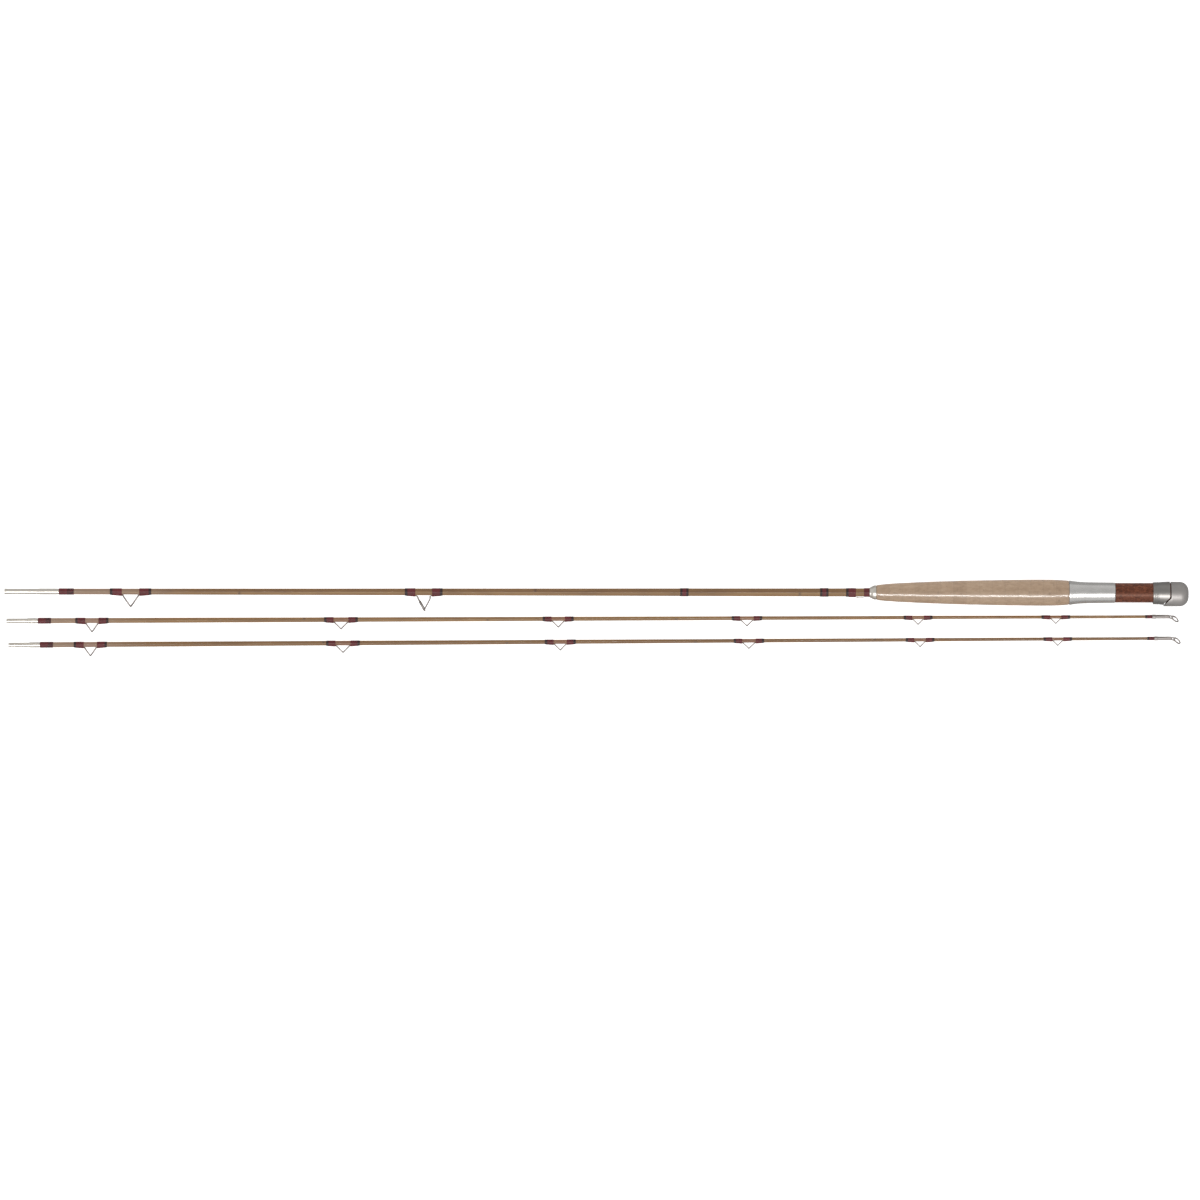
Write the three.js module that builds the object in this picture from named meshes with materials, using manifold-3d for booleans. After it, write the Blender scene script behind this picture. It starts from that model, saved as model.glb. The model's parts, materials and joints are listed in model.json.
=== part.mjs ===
// A two-piece split-cane fly rod with a spare tip, laid apart as three sections.
// Millimetres. +X runs along the butt section from its ferrule to its cap, +Z is up, and the
// guides of all three sections face -Y. The origin is where the butt section's axis meets the
// butt cap's end face.
import * as THREE from "three";
import { mergeVertices } from "three/addons/utils/BufferGeometryUtils.js";
import Module from "manifold-3d";

const wasm = await Module();
wasm.setup();

// Clearances and coats
const FIT = 0.05; // gap between a piece and the piece it is glued to
const COAT = 0.08; // varnish film on the cane between the two windings of a guide
const SILK = 0.3; // thickness of a varnished winding
const FACETS = 20; // sides of a turned piece
const SEAT_FACETS = 28; // sides of the grip and the reel seat's pieces
const WIRE_SIDES = 6; // sides of a wire
const BEYOND = 60; // reach of a cutting block past the piece it cuts

// Butt section, measured from the cap's end towards the ferrule
const BUTT = {
  ferruleMouth: 1160.3,
  ferruleShoulder: 1127.5,
  ferruleEnd: 1106.9,
  ferruleWrapEnd: 1092.2,
  signatureFront: 494,
  signatureRear: 356.9,
  signatureLength: 8.2,
  keeperFront: 326,
  keeperFrontLength: 9.6,
  keeperRear: 318,
  checkFront: 312.5,
  gripFront: 306,
  gripRear: 117.2,
  sleeveRear: 72,
  bandFront: 34.8,
  capMouth: 17.4,
  caneEnd: 13,
};
const CANE_AT_FERRULE = 5.65; // across the flats
const CANE_GROWTH = 0.00298; // extra millimetres across the flats per millimetre of length
const TURNED_CANE_RADIUS = 3.8; // where the cane runs inside the grip and the reel seat
const CANE_STUB_RADIUS = 2.4; // where the cane is turned down for its ferrule

// Ferrules
const SLIDE_RADIUS = 2.2; // of the male ferrule's sliding part
const SLIDE_LENGTH = 20.6;
const SLIDE_BORE = 2.26;
const SLIDE_TUBE_RADIUS = 2.65;
const WELT_RADIUS = 2.85;
const WELT_LENGTH = 2.4;
const STATION_RADIUS = 2.9;
const STATION_BORE = 2.5;
const PLUG_LENGTH = 2;

// Grip and reel seat
const GRIP_BORE = 4.1;
const WOOD_RADIUS = 9.6;
const WOOD_TENON_RADIUS = 8.7;
const WOOD_BORE = 9; // of the sleeve and the cap, over the wood's tenons
const FOOT_FLAT = 8.2; // from the axis to the flat that the reel foot lies on
const BAND_SAG = 0.45; // the loose band hangs this far towards the foot's side
const BAND_BORE = 10.1; // at its narrow front end
const BAND_FLARE = 0.9; // extra radius at its rear end
const BAND_WALL = 0.5;
const BAND_BEAD = 0.3;
const BAND_LENGTH = 16.4;
const CAP_RADIUS = 12;
const CAP_CORNER = 8.6;
const CAP_FLOOR = 6; // thickness of the cap's end
const CAP_OFFSET = 1.2; // the cap's outside is centred this far towards the foot's side
const POCKET_RADIUS = 9.6;
const POCKET_OFFSET = 2.1;
const POCKET_DEPTH = 10;
// On the foot's side the cap's mouth slants forward from this far off the axis, by this much
const MOUTH_SLANT = { from: 5.3, to: 12.9, reach: 7.4 };
const RIM_SLANT = { from: 4.5, to: 12.1, reach: 7.4 }; // the band's rear rim, cut back to match

// Guides: distance from the section's reference, height above the cane, gap between the feet's
// windings, winding length and wire radius
const BUTT_SNAKE = { station: 1036.6, height: 12.5, gap: 17.2, wrap: 11.7, wire: 0.78 };
const STRIPPER = { station: 749.4, height: 15.8, gap: 16.4, wrap: 10.3, wire: 0.75 };
const STEM_ROOT = 6.9; // from the stripping guide's station forward to where its stem rises
const RIM_LEAN = 1.6; // from its station back to the top of its rim
const BRACE_ELBOW = { back: 6.1, height: 3.6, apart: 1.1 };
const RIM_RADIUS = 6.05;
const RIM_WIRE = 0.55;
const RING_THICKNESS = 2.4;
const TIP_SNAKES = [
  { station: 82, height: 9.2, gap: 13, wrap: 9.8, wire: 0.65 },
  { station: 328.2, height: 7.5, gap: 14.6, wrap: 9.2, wire: 0.6 },
  { station: 541.3, height: 6.7, gap: 13, wrap: 8.7, wire: 0.56 },
  { station: 726.4, height: 6.3, gap: 13.2, wrap: 8.3, wire: 0.53 },
  { station: 894.3, height: 5.7, gap: 11.4, wrap: 8.4, wire: 0.5 },
  { station: 1029.4, height: 5.4, gap: 10.9, wrap: 8.6, wire: 0.48 },
];

// Tip sections, measured from the end of the male ferrule
const TIP = {
  bodyEnd: 31,
  wrapEnd: 43.8,
  topWrapStart: 1117.2,
  topWrapEnd: 1124,
  tubeEnd: 1141.5,
  caneEnd: 1138.5,
};
const TIP_CANE_AT_FERRULE = 5;
const TIP_CANE_AT_TOP = 2.75;
const TIP_STUB_RADIUS = 1.9;
const TOP_STUB_RADIUS = 1.1;
const TUBE_RADIUS = 1.75;
const TUBE_BORE = 1.25;
const LOOP_RADIUS = 3.75;
const LOOP_WIRE = 0.7;
const LOOP_TILT = THREE.MathUtils.degToRad(50);
const LOOP_ROLL = -28; // degrees that the loop is twisted round the tube, towards +Z
const LOOP_AHEAD = 4.8; // from the tube's end to the loop's centre
const LOOP_DROP = 2.6;
const BODY_RADIUS = 2.55; // of the male ferrule behind its sliding part
// Where each tip lies: its ferrule end, how far it turns from parallel to the butt section, and
// how far its first guide sits from that guide's nominal station
const TIP_HEIGHT = -8.5;
const TIP_PLACES = [
  { x: -1158.9, y: -28.9, turn: THREE.MathUtils.degToRad(0.28), firstGuide: 1.9 },
  { x: -1156.9, y: -52.6, turn: THREE.MathUtils.degToRad(0.4), firstGuide: -1.6 },
];

// ---------------------------------------------------------------- solids

function solidOf(geometry) {
  geometry.deleteAttribute("normal");
  geometry.deleteAttribute("uv");
  const merged = mergeVertices(geometry, 1e-4);
  const vertProperties = merged.attributes.position.array;
  const triVerts = new Uint32Array(merged.index.array);
  return new wasm.Manifold(new wasm.Mesh({ numProp: 3, vertProperties, triVerts }));
}

function geometryOf(solid) {
  const mesh = solid.getMesh();
  const geometry = new THREE.BufferGeometry();
  geometry.setAttribute("position", new THREE.BufferAttribute(mesh.vertProperties, 3));
  geometry.setIndex(new THREE.BufferAttribute(mesh.triVerts, 1));
  geometry.computeVertexNormals();
  return geometry;
}

// A closed skin over rings of points that follow one another along +X.
function skin(rings) {
  const count = rings[0].length;
  const last = (rings.length - 1) * count;
  const index = [];
  for (let i = 0; i < last; i += count) {
    for (let k = 0; k < count; k++) {
      const next = (k + 1) % count;
      index.push(i + k, i + next, i + count + k);
      index.push(i + next, i + count + next, i + count + k);
    }
  }
  for (let k = 1; k < count - 1; k++) {
    index.push(0, k + 1, k);
    index.push(last, last + k, last + k + 1);
  }
  const geometry = new THREE.BufferGeometry().setFromPoints(rings.flat());
  geometry.setIndex(index);
  return solidOf(geometry);
}

// A hexagon around the X axis with flats towards -Y and +Y.
function hexagon(x, acrossFlats) {
  const radius = acrossFlats / 2 / Math.cos(Math.PI / 6);
  return Array.from({ length: 6 }, (_, k) => {
    const angle = Math.PI / 6 + (k * Math.PI) / 3;
    return new THREE.Vector3(x, radius * Math.cos(angle), radius * Math.sin(angle));
  });
}

// A hexagonal bar from x0 to x1 that follows the cane's taper, `proud` outside its surface.
function hexBar(cane, x0, x1, proud) {
  return skin([x0, x1].map((x) => hexagon(x, cane(x) + 2 * proud)));
}

// A solid of revolution about the X axis, from a closed profile of [x, radius] points.
function turned(profile, facets = FACETS) {
  const points = [...profile, profile[0]].map(([x, radius]) => new THREE.Vector2(radius, x));
  return solidOf(new THREE.LatheGeometry(points, facets).rotateZ(-Math.PI / 2));
}

function rod(x0, x1, radius, facets = FACETS) {
  const length = x1 - x0;
  const cylinder = new THREE.CylinderGeometry(radius, radius, length, facets);
  return solidOf(cylinder.rotateZ(-Math.PI / 2).translate(x0 + length / 2, 0, 0));
}

function block(x0, x1, y0, y1, z0, z1) {
  const box = new THREE.BoxGeometry(x1 - x0, y1 - y0, z1 - z0);
  return solidOf(box.translate((x0 + x1) / 2, (y0 + y1) / 2, (z0 + z1) / 2));
}

// A round bar between two points.
function bar(from, to, radius, facets) {
  const along = to.clone().sub(from);
  const cylinder = new THREE.CylinderGeometry(radius, radius, along.length(), facets);
  const turn = new THREE.Quaternion().setFromUnitVectors(
    new THREE.Vector3(0, 1, 0),
    along.clone().normalize(),
  );
  const middle = from.clone().add(to).multiplyScalar(0.5);
  return solidOf(cylinder.applyQuaternion(turn).translate(middle.x, middle.y, middle.z));
}

// Round wire bent along a smooth curve through the points.
function bentWire(points, radius, steps, sides = WIRE_SIDES) {
  const outline = new THREE.Shape(
    Array.from({ length: sides }, (_, k) => {
      const angle = (k * 2 * Math.PI) / sides;
      return new THREE.Vector2(radius * Math.cos(angle), radius * Math.sin(angle));
    }),
  );
  const extrudePath = new THREE.CatmullRomCurve3(points);
  return solidOf(new THREE.ExtrudeGeometry(outline, { steps, extrudePath, bevelEnabled: false }));
}

function union(solids) {
  return solids.reduce((all, one) => all.add(one));
}

// ---------------------------------------------------------------- assembly helpers

const finishes = {
  cane: { color: 0x8f6f52, roughness: 0.32, metalness: 0 },
  silk: { color: 0x863741, roughness: 0.35, metalness: 0 },
  cork: { color: 0xb09880, roughness: 0.4, metalness: 0 },
  burl: { color: 0x754e3e, roughness: 0.3, metalness: 0 },
  aluminium: { color: 0xc2c2c4, roughness: 0.25, metalness: 1 },
  satin: { color: 0x9c9ca0, roughness: 0.35, metalness: 1 },
  nickel: { color: 0xd8d6d0, roughness: 0.18, metalness: 1 },
  steel: { color: 0xb8b3ae, roughness: 0.22, metalness: 1 },
  plug: { color: 0x5a4a3a, roughness: 0.6, metalness: 0 },
};

function place(group, name, solid, finish) {
  const mesh = new THREE.Mesh(
    geometryOf(solid),
    new THREE.MeshStandardMaterial(finishes[finish]),
  );
  mesh.name = name;
  group.add(mesh);
}

// A winding straight on the cane.
function winding(cane, x0, x1) {
  return hexBar(cane, x0, x1, SILK + FIT).subtract(hexBar(cane, x0 - 1, x1 + 1, FIT));
}

// Height above the cane's flat of the axis of a guide's foot, by distance from the guide's middle.
function footAxis(guide, distance) {
  const inner = guide.gap / 2 - 1;
  const outer = guide.gap / 2 + guide.wrap * 0.84;
  const lift = guide.wire * 0.45;
  return THREE.MathUtils.mapLinear(distance, inner, outer, lift, -lift);
}

// The feet of a guide lie on the cane's -Y flat and thin out away from the guide. `extra` makes
// them thicker, and longer at their outer ends.
function feet(guide, x, flat, extra) {
  const inner = guide.gap / 2 - 1;
  const outer = guide.gap / 2 + guide.wrap * 0.84 + extra;
  return [-1, 1].map((side) => {
    const [from, to] = [outer, inner].map(
      (reach) => new THREE.Vector3(x + side * reach, -(flat + footAxis(guide, reach)), 0),
    );
    return bar(from, to, guide.wire + extra, WIRE_SIDES);
  });
}

// The space on the cane's side of the feet, which the feet are ground flat against.
function caneSpace(x, flat) {
  return block(x - BEYOND, x + BEYOND, -(flat + COAT + 2 * FIT), BEYOND, -BEYOND, BEYOND);
}

function flatAt(cane, guide, x) {
  return Math.max(cane(x - guide.gap), cane(x + guide.gap)) / 2;
}

// The two windings over a guide's feet, and the varnish film between them that joins them.
function guideWindings(cane, guide, x) {
  const flat = flatAt(cane, guide, x);
  const inner = guide.gap / 2;
  const outer = inner + guide.wrap;
  const ridges = feet(guide, x, flat, SILK);
  const sides = [-1, 1].map((side, i) => {
    const x0 = x + Math.min(side * inner, side * outer);
    const x1 = x + Math.max(side * inner, side * outer);
    const slab = block(x0, x1, -BEYOND, BEYOND, -BEYOND, BEYOND);
    return hexBar(cane, x0, x1, SILK + FIT).add(ridges[i].intersect(slab));
  });
  const coat = hexBar(cane, x - inner - 1, x + inner + 1, COAT + FIT);
  return union(sides)
    .subtract(union(feet(guide, x, flat, FIT)))
    .add(coat)
    .subtract(hexBar(cane, x - 2 * outer, x + 2 * outer, FIT));
}

// A snake guide: one wire that rises on one side, crosses over and comes down on the other.
function snakeGuide(cane, guide, x) {
  const flat = flatAt(cane, guide, x);
  const reach = guide.gap / 2 - 0.5;
  const rise = guide.height - guide.wire;
  const width = 0.36 * guide.height;
  const start = flat + guide.wire * 0.45;
  const onFoot = (side, distance) =>
    new THREE.Vector3(x + side * distance, -(flat + footAxis(guide, distance)), 0);
  const points = [onFoot(-1, reach + 0.2), onFoot(-1, reach - 0.3)];
  for (let step = 1; step <= 9; step++) {
    const angle = (step * Math.PI) / 5;
    const height = (rise * (1 - Math.cos(angle))) / 2;
    const across = (reach * (1 + Math.cos(angle))) / 2;
    const side = step < 5 ? -1 : 1;
    points.push(
      new THREE.Vector3(x + side * across, -Math.max(flat + height, start), width * Math.sin(angle)),
    );
  }
  points.push(onFoot(1, reach - 0.3), onFoot(1, reach + 0.2));
  return union([bentWire(points, guide.wire, 20), ...feet(guide, x, flat, 0)]).subtract(
    caneSpace(x, flat),
  );
}

// ---------------------------------------------------------------- butt section

const buttCane = (x) => CANE_AT_FERRULE + (BUTT.ferruleEnd + x) * CANE_GROWTH;

function cane() {
  const hex = hexBar(buttCane, -BUTT.ferruleEnd, -BUTT.gripFront - 0.5, 0);
  const stub = rod(-BUTT.ferruleShoulder + PLUG_LENGTH + 0.5, -BUTT.ferruleEnd + 1, CANE_STUB_RADIUS);
  const tail = rod(-BUTT.gripFront - 1, -BUTT.caneEnd, TURNED_CANE_RADIUS);
  return union([hex, stub, tail]);
}

function femaleFerrule() {
  const mouth = -BUTT.ferruleMouth;
  const shoulder = -BUTT.ferruleShoulder;
  const end = -BUTT.ferruleEnd - FIT;
  return turned([
    [mouth, SLIDE_BORE + 0.2],
    [mouth, WELT_RADIUS],
    [mouth + WELT_LENGTH, WELT_RADIUS],
    [mouth + WELT_LENGTH + 0.4, SLIDE_TUBE_RADIUS],
    [shoulder, SLIDE_TUBE_RADIUS],
    [shoulder + 0.8, STATION_RADIUS],
    [end - 3, STATION_RADIUS],
    [end, STATION_BORE + 0.25],
    [end, STATION_BORE],
    [shoulder, STATION_BORE],
    [shoulder, SLIDE_BORE],
    [mouth + 0.3, SLIDE_BORE],
  ]);
}

function ferrulePlug() {
  const x = -BUTT.ferruleShoulder + 0.1;
  return rod(x, x + PLUG_LENGTH, STATION_BORE - 0.1);
}

// The stripping guide stands on its front foot, leaning back, and two wires brace it.
function stripperParts() {
  const x = -STRIPPER.station;
  const flat = flatAt(buttCane, STRIPPER, x);
  const root = new THREE.Vector3(x - STEM_ROOT, -(flat + 0.4), 0);
  const top = new THREE.Vector3(x + RIM_LEAN, -(flat + STRIPPER.height), 0);
  const lean = top.clone().sub(root).normalize();
  const centre = top.clone().addScaledVector(lean, -(RIM_RADIUS + RIM_WIRE));
  const axle = new THREE.Vector3(-lean.y, lean.x, 0);
  const turn = new THREE.Quaternion().setFromUnitVectors(new THREE.Vector3(0, 0, 1), axle);
  const rim = solidOf(
    new THREE.TorusGeometry(RIM_RADIUS, RIM_WIRE, 6, 24)
      .applyQuaternion(turn)
      .translate(centre.x, centre.y, centre.z),
  );
  const rimPoint = (angle, side) =>
    centre
      .clone()
      .addScaledVector(lean, RIM_RADIUS * Math.cos(angle))
      .add(new THREE.Vector3(0, 0, side * RIM_RADIUS * Math.sin(angle)));
  const stem = bentWire(
    [
      new THREE.Vector3(x - STRIPPER.gap / 2 + 0.6, -(flat + 0.34), 0),
      new THREE.Vector3(x - STRIPPER.gap / 2 + 1.3, -(flat + 0.7), 0),
      root.clone().addScaledVector(lean, 1.8),
      rimPoint(Math.PI, 0),
    ],
    STRIPPER.wire,
    8,
  );
  const braces = [-1, 1].map((side) =>
    bentWire(
      [
        new THREE.Vector3(x + STRIPPER.gap / 2 - 0.6, -(flat + 0.34), 0),
        new THREE.Vector3(x + STRIPPER.gap / 2 - 1.3, -(flat + 0.8), 0.2 * side),
        new THREE.Vector3(
          x + BRACE_ELBOW.back,
          -(flat + BRACE_ELBOW.height),
          side * BRACE_ELBOW.apart,
        ),
        rimPoint(Math.PI / 5, side),
      ],
      STRIPPER.wire * 0.8,
      10,
    ),
  );
  const seat = RIM_RADIUS - RIM_WIRE - 0.05;
  const ringSpace = new THREE.CylinderGeometry(seat, seat, RING_THICKNESS + 0.6, 24)
    .rotateX(Math.PI / 2)
    .applyQuaternion(turn)
    .translate(centre.x, centre.y, centre.z);
  const frame = union([rim, stem, ...braces, ...feet(STRIPPER, x, flat, 0)])
    .subtract(caneSpace(x, flat))
    .subtract(solidOf(ringSpace));
  const bore = seat - 0.12;
  const ring = new THREE.LatheGeometry(
    [
      [bore - 1.9, 0],
      [bore - 1.5, -RING_THICKNESS * 0.38],
      [bore - 0.5, -RING_THICKNESS / 2],
      [bore, -RING_THICKNESS * 0.3],
      [bore, RING_THICKNESS * 0.3],
      [bore - 0.5, RING_THICKNESS / 2],
      [bore - 1.5, RING_THICKNESS * 0.38],
      [bore - 1.9, 0],
    ].map(([radius, height]) => new THREE.Vector2(radius, height)),
    24,
  )
    .rotateX(Math.PI / 2)
    .applyQuaternion(turn)
    .translate(centre.x, centre.y, centre.z);
  return { frame, ring: solidOf(ring) };
}

// Hook keeper: a strap folded into an eye, its tail under the front winding, and a ring in the eye.
const EYE_RADIUS = 0.95;
const EYE_BORE = 0.62;
const KEEPER_RADIUS = 3.2;
const KEEPER_WIRE = 0.4;
const STRAP_WIDTH = 1.6;
const STRAP_THICKNESS = 0.35;
const keeperFlat = buttCane(-BUTT.keeperRear) / 2 + FIT;
const eyeCentre = new THREE.Vector2(-BUTT.keeperFront + 1.1, -(keeperFlat + EYE_RADIUS + 0.1));

function keeperStrap() {
  const tail = new THREE.Shape();
  const base = -(keeperFlat + 0.1);
  tail.moveTo(-BUTT.keeperFront - 6.5, base);
  tail.lineTo(-BUTT.keeperFront - 6.5, base - STRAP_THICKNESS);
  tail.lineTo(eyeCentre.x, base - STRAP_THICKNESS);
  tail.lineTo(eyeCentre.x, base);
  const eye = new THREE.Shape().absarc(eyeCentre.x, eyeCentre.y, EYE_RADIUS, 0, 2 * Math.PI);
  const hole = new THREE.Shape().absarc(eyeCentre.x, eyeCentre.y, EYE_BORE, 0, 2 * Math.PI);
  const [strip, roll, bore] = [tail, eye, hole].map((shape, i) => {
    const depth = STRAP_WIDTH + (i === 2 ? 2 : 0);
    const options = { depth, bevelEnabled: false, curveSegments: 16 };
    return solidOf(new THREE.ExtrudeGeometry(shape, options).translate(0, 0, -depth / 2));
  });
  return strip.add(roll).subtract(bore);
}

function keeperRing() {
  const ring = new THREE.TorusGeometry(KEEPER_RADIUS, KEEPER_WIRE, 6, 20).rotateX(Math.PI / 2);
  return solidOf(ring.translate(eyeCentre.x + KEEPER_RADIUS, eyeCentre.y, 0));
}

function keeperFrontWinding() {
  const x0 = -BUTT.keeperFront - BUTT.keeperFrontLength;
  const x1 = -BUTT.keeperFront;
  const half = STRAP_WIDTH / 2;
  const under = keeperFlat + 0.1 + STRAP_THICKNESS;
  const ridge = block(x0 + 2, x1, -(under + SILK), -3, -half - SILK, half + SILK);
  const tail = block(x0 + 3, x1 + 1, -(under + FIT), -keeperFlat, -half - FIT, half + FIT);
  return hexBar(buttCane, x0, x1, SILK + FIT)
    .add(ridge)
    .subtract(tail)
    .subtract(hexBar(buttCane, x0 - 1, x1 + 1, FIT));
}

function windingCheck() {
  const x0 = -BUTT.checkFront;
  const x1 = -BUTT.gripFront - FIT;
  const outer = turned([
    [x0, 0],
    [x0, 4.9],
    [x0 + 1.4, 5.3],
    [x0 + 3.2, 6.5],
    [x1 - 1.6, 7],
    [x1, 7],
    [x1, 0],
  ], 24);
  return outer.subtract(hexBar(buttCane, x0 - 1, x1 + 1, FIT));
}

function corkGrip() {
  const outline = new THREE.SplineCurve(
    [
      [-BUTT.gripFront, 6.9],
      [-302.5, 7.75],
      [-283, 9.3],
      [-224, 11.65],
      [-150, 12.85],
      [-126, 12.5],
      [-BUTT.gripRear, 11.75],
    ].map(([x, radius]) => new THREE.Vector2(x, radius)),
  );
  const outside = outline.getPoints(12).map((point) => [point.x, point.y]);
  return turned(
    [...outside, [-BUTT.gripRear, GRIP_BORE], [-BUTT.gripFront, GRIP_BORE]],
    SEAT_FACETS,
  );
}

// A thin spun sleeve that flares out against the grip.
function seatSleeve() {
  const front = -BUTT.gripRear + 0.1;
  const rear = -BUTT.sleeveRear;
  return turned([
    [front, WOOD_BORE],
    [front, 11.85],
    [front + 1.2, 11.95],
    [front + 4, 11.4],
    [front + 9, 10.8],
    [front + 18, 10.3],
    [rear - 1, 9.95],
    [rear, 9.7],
    [rear, WOOD_BORE],
  ], SEAT_FACETS);
}

// The wood runs from the grip into the cap, turned down inside both, with a flat for the reel foot.
function woodSpacer() {
  const front = -BUTT.gripRear + 0.2;
  const shoulder = -BUTT.sleeveRear + 0.1;
  const capStep = -BUTT.capMouth - 0.4;
  const end = -BUTT.caneEnd + 3;
  const wood = turned([
    [front, GRIP_BORE],
    [front, WOOD_TENON_RADIUS],
    [shoulder, WOOD_TENON_RADIUS],
    [shoulder, WOOD_RADIUS],
    [capStep, WOOD_RADIUS],
    [capStep, WOOD_TENON_RADIUS],
    [end, WOOD_TENON_RADIUS],
    [end, GRIP_BORE],
  ], SEAT_FACETS);
  const step = -BUTT.bandFront - 0.5;
  const seat = block(shoulder + 0.4, step, -BEYOND, -FOOT_FLAT, -BEYOND, BEYOND);
  const run = block(step, end + 1, -BEYOND, -FOOT_FLAT + 0.15, -BEYOND, BEYOND);
  return wood.subtract(seat).subtract(run);
}

// All of the space ahead of a rim at x whose foot's side slants forward.
function aheadOf(x, slant) {
  const shape = new THREE.Shape(
    [
      [x, BEYOND],
      [x, -slant.from],
      [x - slant.reach, -slant.to],
      [x - slant.reach, -BEYOND],
      [x - BEYOND, -BEYOND],
      [x - BEYOND, BEYOND],
    ].map(([px, py]) => new THREE.Vector2(px, py)),
  );
  const options = { depth: 2 * BEYOND, bevelEnabled: false };
  return solidOf(new THREE.ExtrudeGeometry(shape, options).translate(0, 0, -BEYOND));
}

// A thin cone that wedges over the front end of the reel foot, with a bead at its narrow end.
function slideBand() {
  const front = -BUTT.bandFront;
  const rear = front + BAND_LENGTH;
  const outside = BAND_BORE + BAND_WALL;
  const band = turned([
    [front, BAND_BORE],
    [front, outside],
    [front + 0.7, outside + BAND_BEAD],
    [front + 2.2, outside + BAND_BEAD],
    [front + 2.9, outside + 0.05],
    [front + 5, outside + 0.25],
    [rear, outside + BAND_FLARE],
    [rear, BAND_BORE + BAND_FLARE],
    [front + 5, BAND_BORE + 0.25],
  ], SEAT_FACETS);
  return band.translate([0, -BAND_SAG, 0]).intersect(aheadOf(rear + 0.01, RIM_SLANT));
}

// A cup with a rounded end; a pocket on the -Y side takes the rear end of the reel foot.
function buttCap() {
  const mouth = -BUTT.capMouth;
  const front = mouth - MOUTH_SLANT.reach;
  const flatEnd = CAP_RADIUS - CAP_CORNER;
  const corner = Array.from({ length: 5 }, (_, k) => {
    const angle = (k * Math.PI) / 10;
    return [CAP_CORNER * (Math.sin(angle) - 1), flatEnd + CAP_CORNER * Math.cos(angle)];
  });
  const cup = turned([
    [front, 0],
    [front, CAP_RADIUS - 0.3],
    [front + 0.3, CAP_RADIUS],
    ...corner,
    [0, flatEnd],
    [0, 0],
  ], SEAT_FACETS);
  const bore = rod(front - 1, -CAP_FLOOR, WOOD_BORE, SEAT_FACETS);
  const pocket = rod(front - 1, mouth + POCKET_DEPTH, POCKET_RADIUS, SEAT_FACETS);
  return cup
    .translate([0, -CAP_OFFSET, 0])
    .subtract(aheadOf(mouth, MOUTH_SLANT))
    .subtract(bore)
    .subtract(pocket.translate([0, -POCKET_OFFSET, 0]));
}

function buttSection() {
  const group = new THREE.Group();
  const add = (name, solid, finish) => place(group, name, solid, finish);
  const { frame, ring } = stripperParts();
  add("butt_cane", cane(), "cane");
  add("female_ferrule", femaleFerrule(), "nickel");
  add("ferrule_plug", ferrulePlug(), "plug");
  add("butt_ferrule_wrap", winding(buttCane, -BUTT.ferruleEnd, -BUTT.ferruleWrapEnd), "silk");
  add("butt_snake_guide", snakeGuide(buttCane, BUTT_SNAKE, -BUTT_SNAKE.station), "steel");
  add("butt_snake_wraps", guideWindings(buttCane, BUTT_SNAKE, -BUTT_SNAKE.station), "silk");
  add("stripping_guide_frame", frame, "steel");
  add("stripping_guide_ring", ring, "steel");
  add("stripping_guide_wraps", guideWindings(buttCane, STRIPPER, -STRIPPER.station), "silk");
  for (const [name, start] of [["front", BUTT.signatureFront], ["rear", BUTT.signatureRear]]) {
    const band = winding(buttCane, -start - BUTT.signatureLength / 2, -start + BUTT.signatureLength / 2);
    add(`signature_wrap_${name}`, band, "silk");
  }
  add("keeper_wrap_front", keeperFrontWinding(), "silk");
  add("keeper_wrap_rear", winding(buttCane, -BUTT.keeperRear, -BUTT.checkFront - FIT), "silk");
  add("keeper_strap", keeperStrap(), "nickel");
  add("keeper_ring", keeperRing(), "nickel");
  add("winding_check", windingCheck(), "nickel");
  add("cork_grip", corkGrip(), "cork");
  add("seat_sleeve", seatSleeve(), "aluminium");
  add("wood_spacer", woodSpacer(), "burl");
  add("slide_band", slideBand(), "satin");
  add("butt_cap", buttCap(), "satin");
  return group;
}

// ---------------------------------------------------------------- tip sections

const tipCane = (x) =>
  THREE.MathUtils.mapLinear(x, TIP.bodyEnd, TIP.topWrapEnd, TIP_CANE_AT_FERRULE, TIP_CANE_AT_TOP);

function tipStrips() {
  const hex = hexBar(tipCane, TIP.bodyEnd, TIP.topWrapEnd, 0);
  const stub = rod(9, TIP.bodyEnd + 1, TIP_STUB_RADIUS);
  const top = rod(TIP.topWrapEnd - 1, TIP.caneEnd, TOP_STUB_RADIUS, 16);
  return union([hex, stub, top]);
}

function maleFerrule() {
  const end = TIP.bodyEnd - FIT;
  return turned([
    [0, 0],
    [0, SLIDE_RADIUS - 0.3],
    [0.4, SLIDE_RADIUS],
    [SLIDE_LENGTH, SLIDE_RADIUS],
    [SLIDE_LENGTH + 0.3, BODY_RADIUS],
    [end - 2.4, BODY_RADIUS],
    [end, 2.2],
    [end, TIP_STUB_RADIUS + 0.1],
    [8, TIP_STUB_RADIUS + 0.1],
    [8, 0],
  ]);
}

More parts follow.
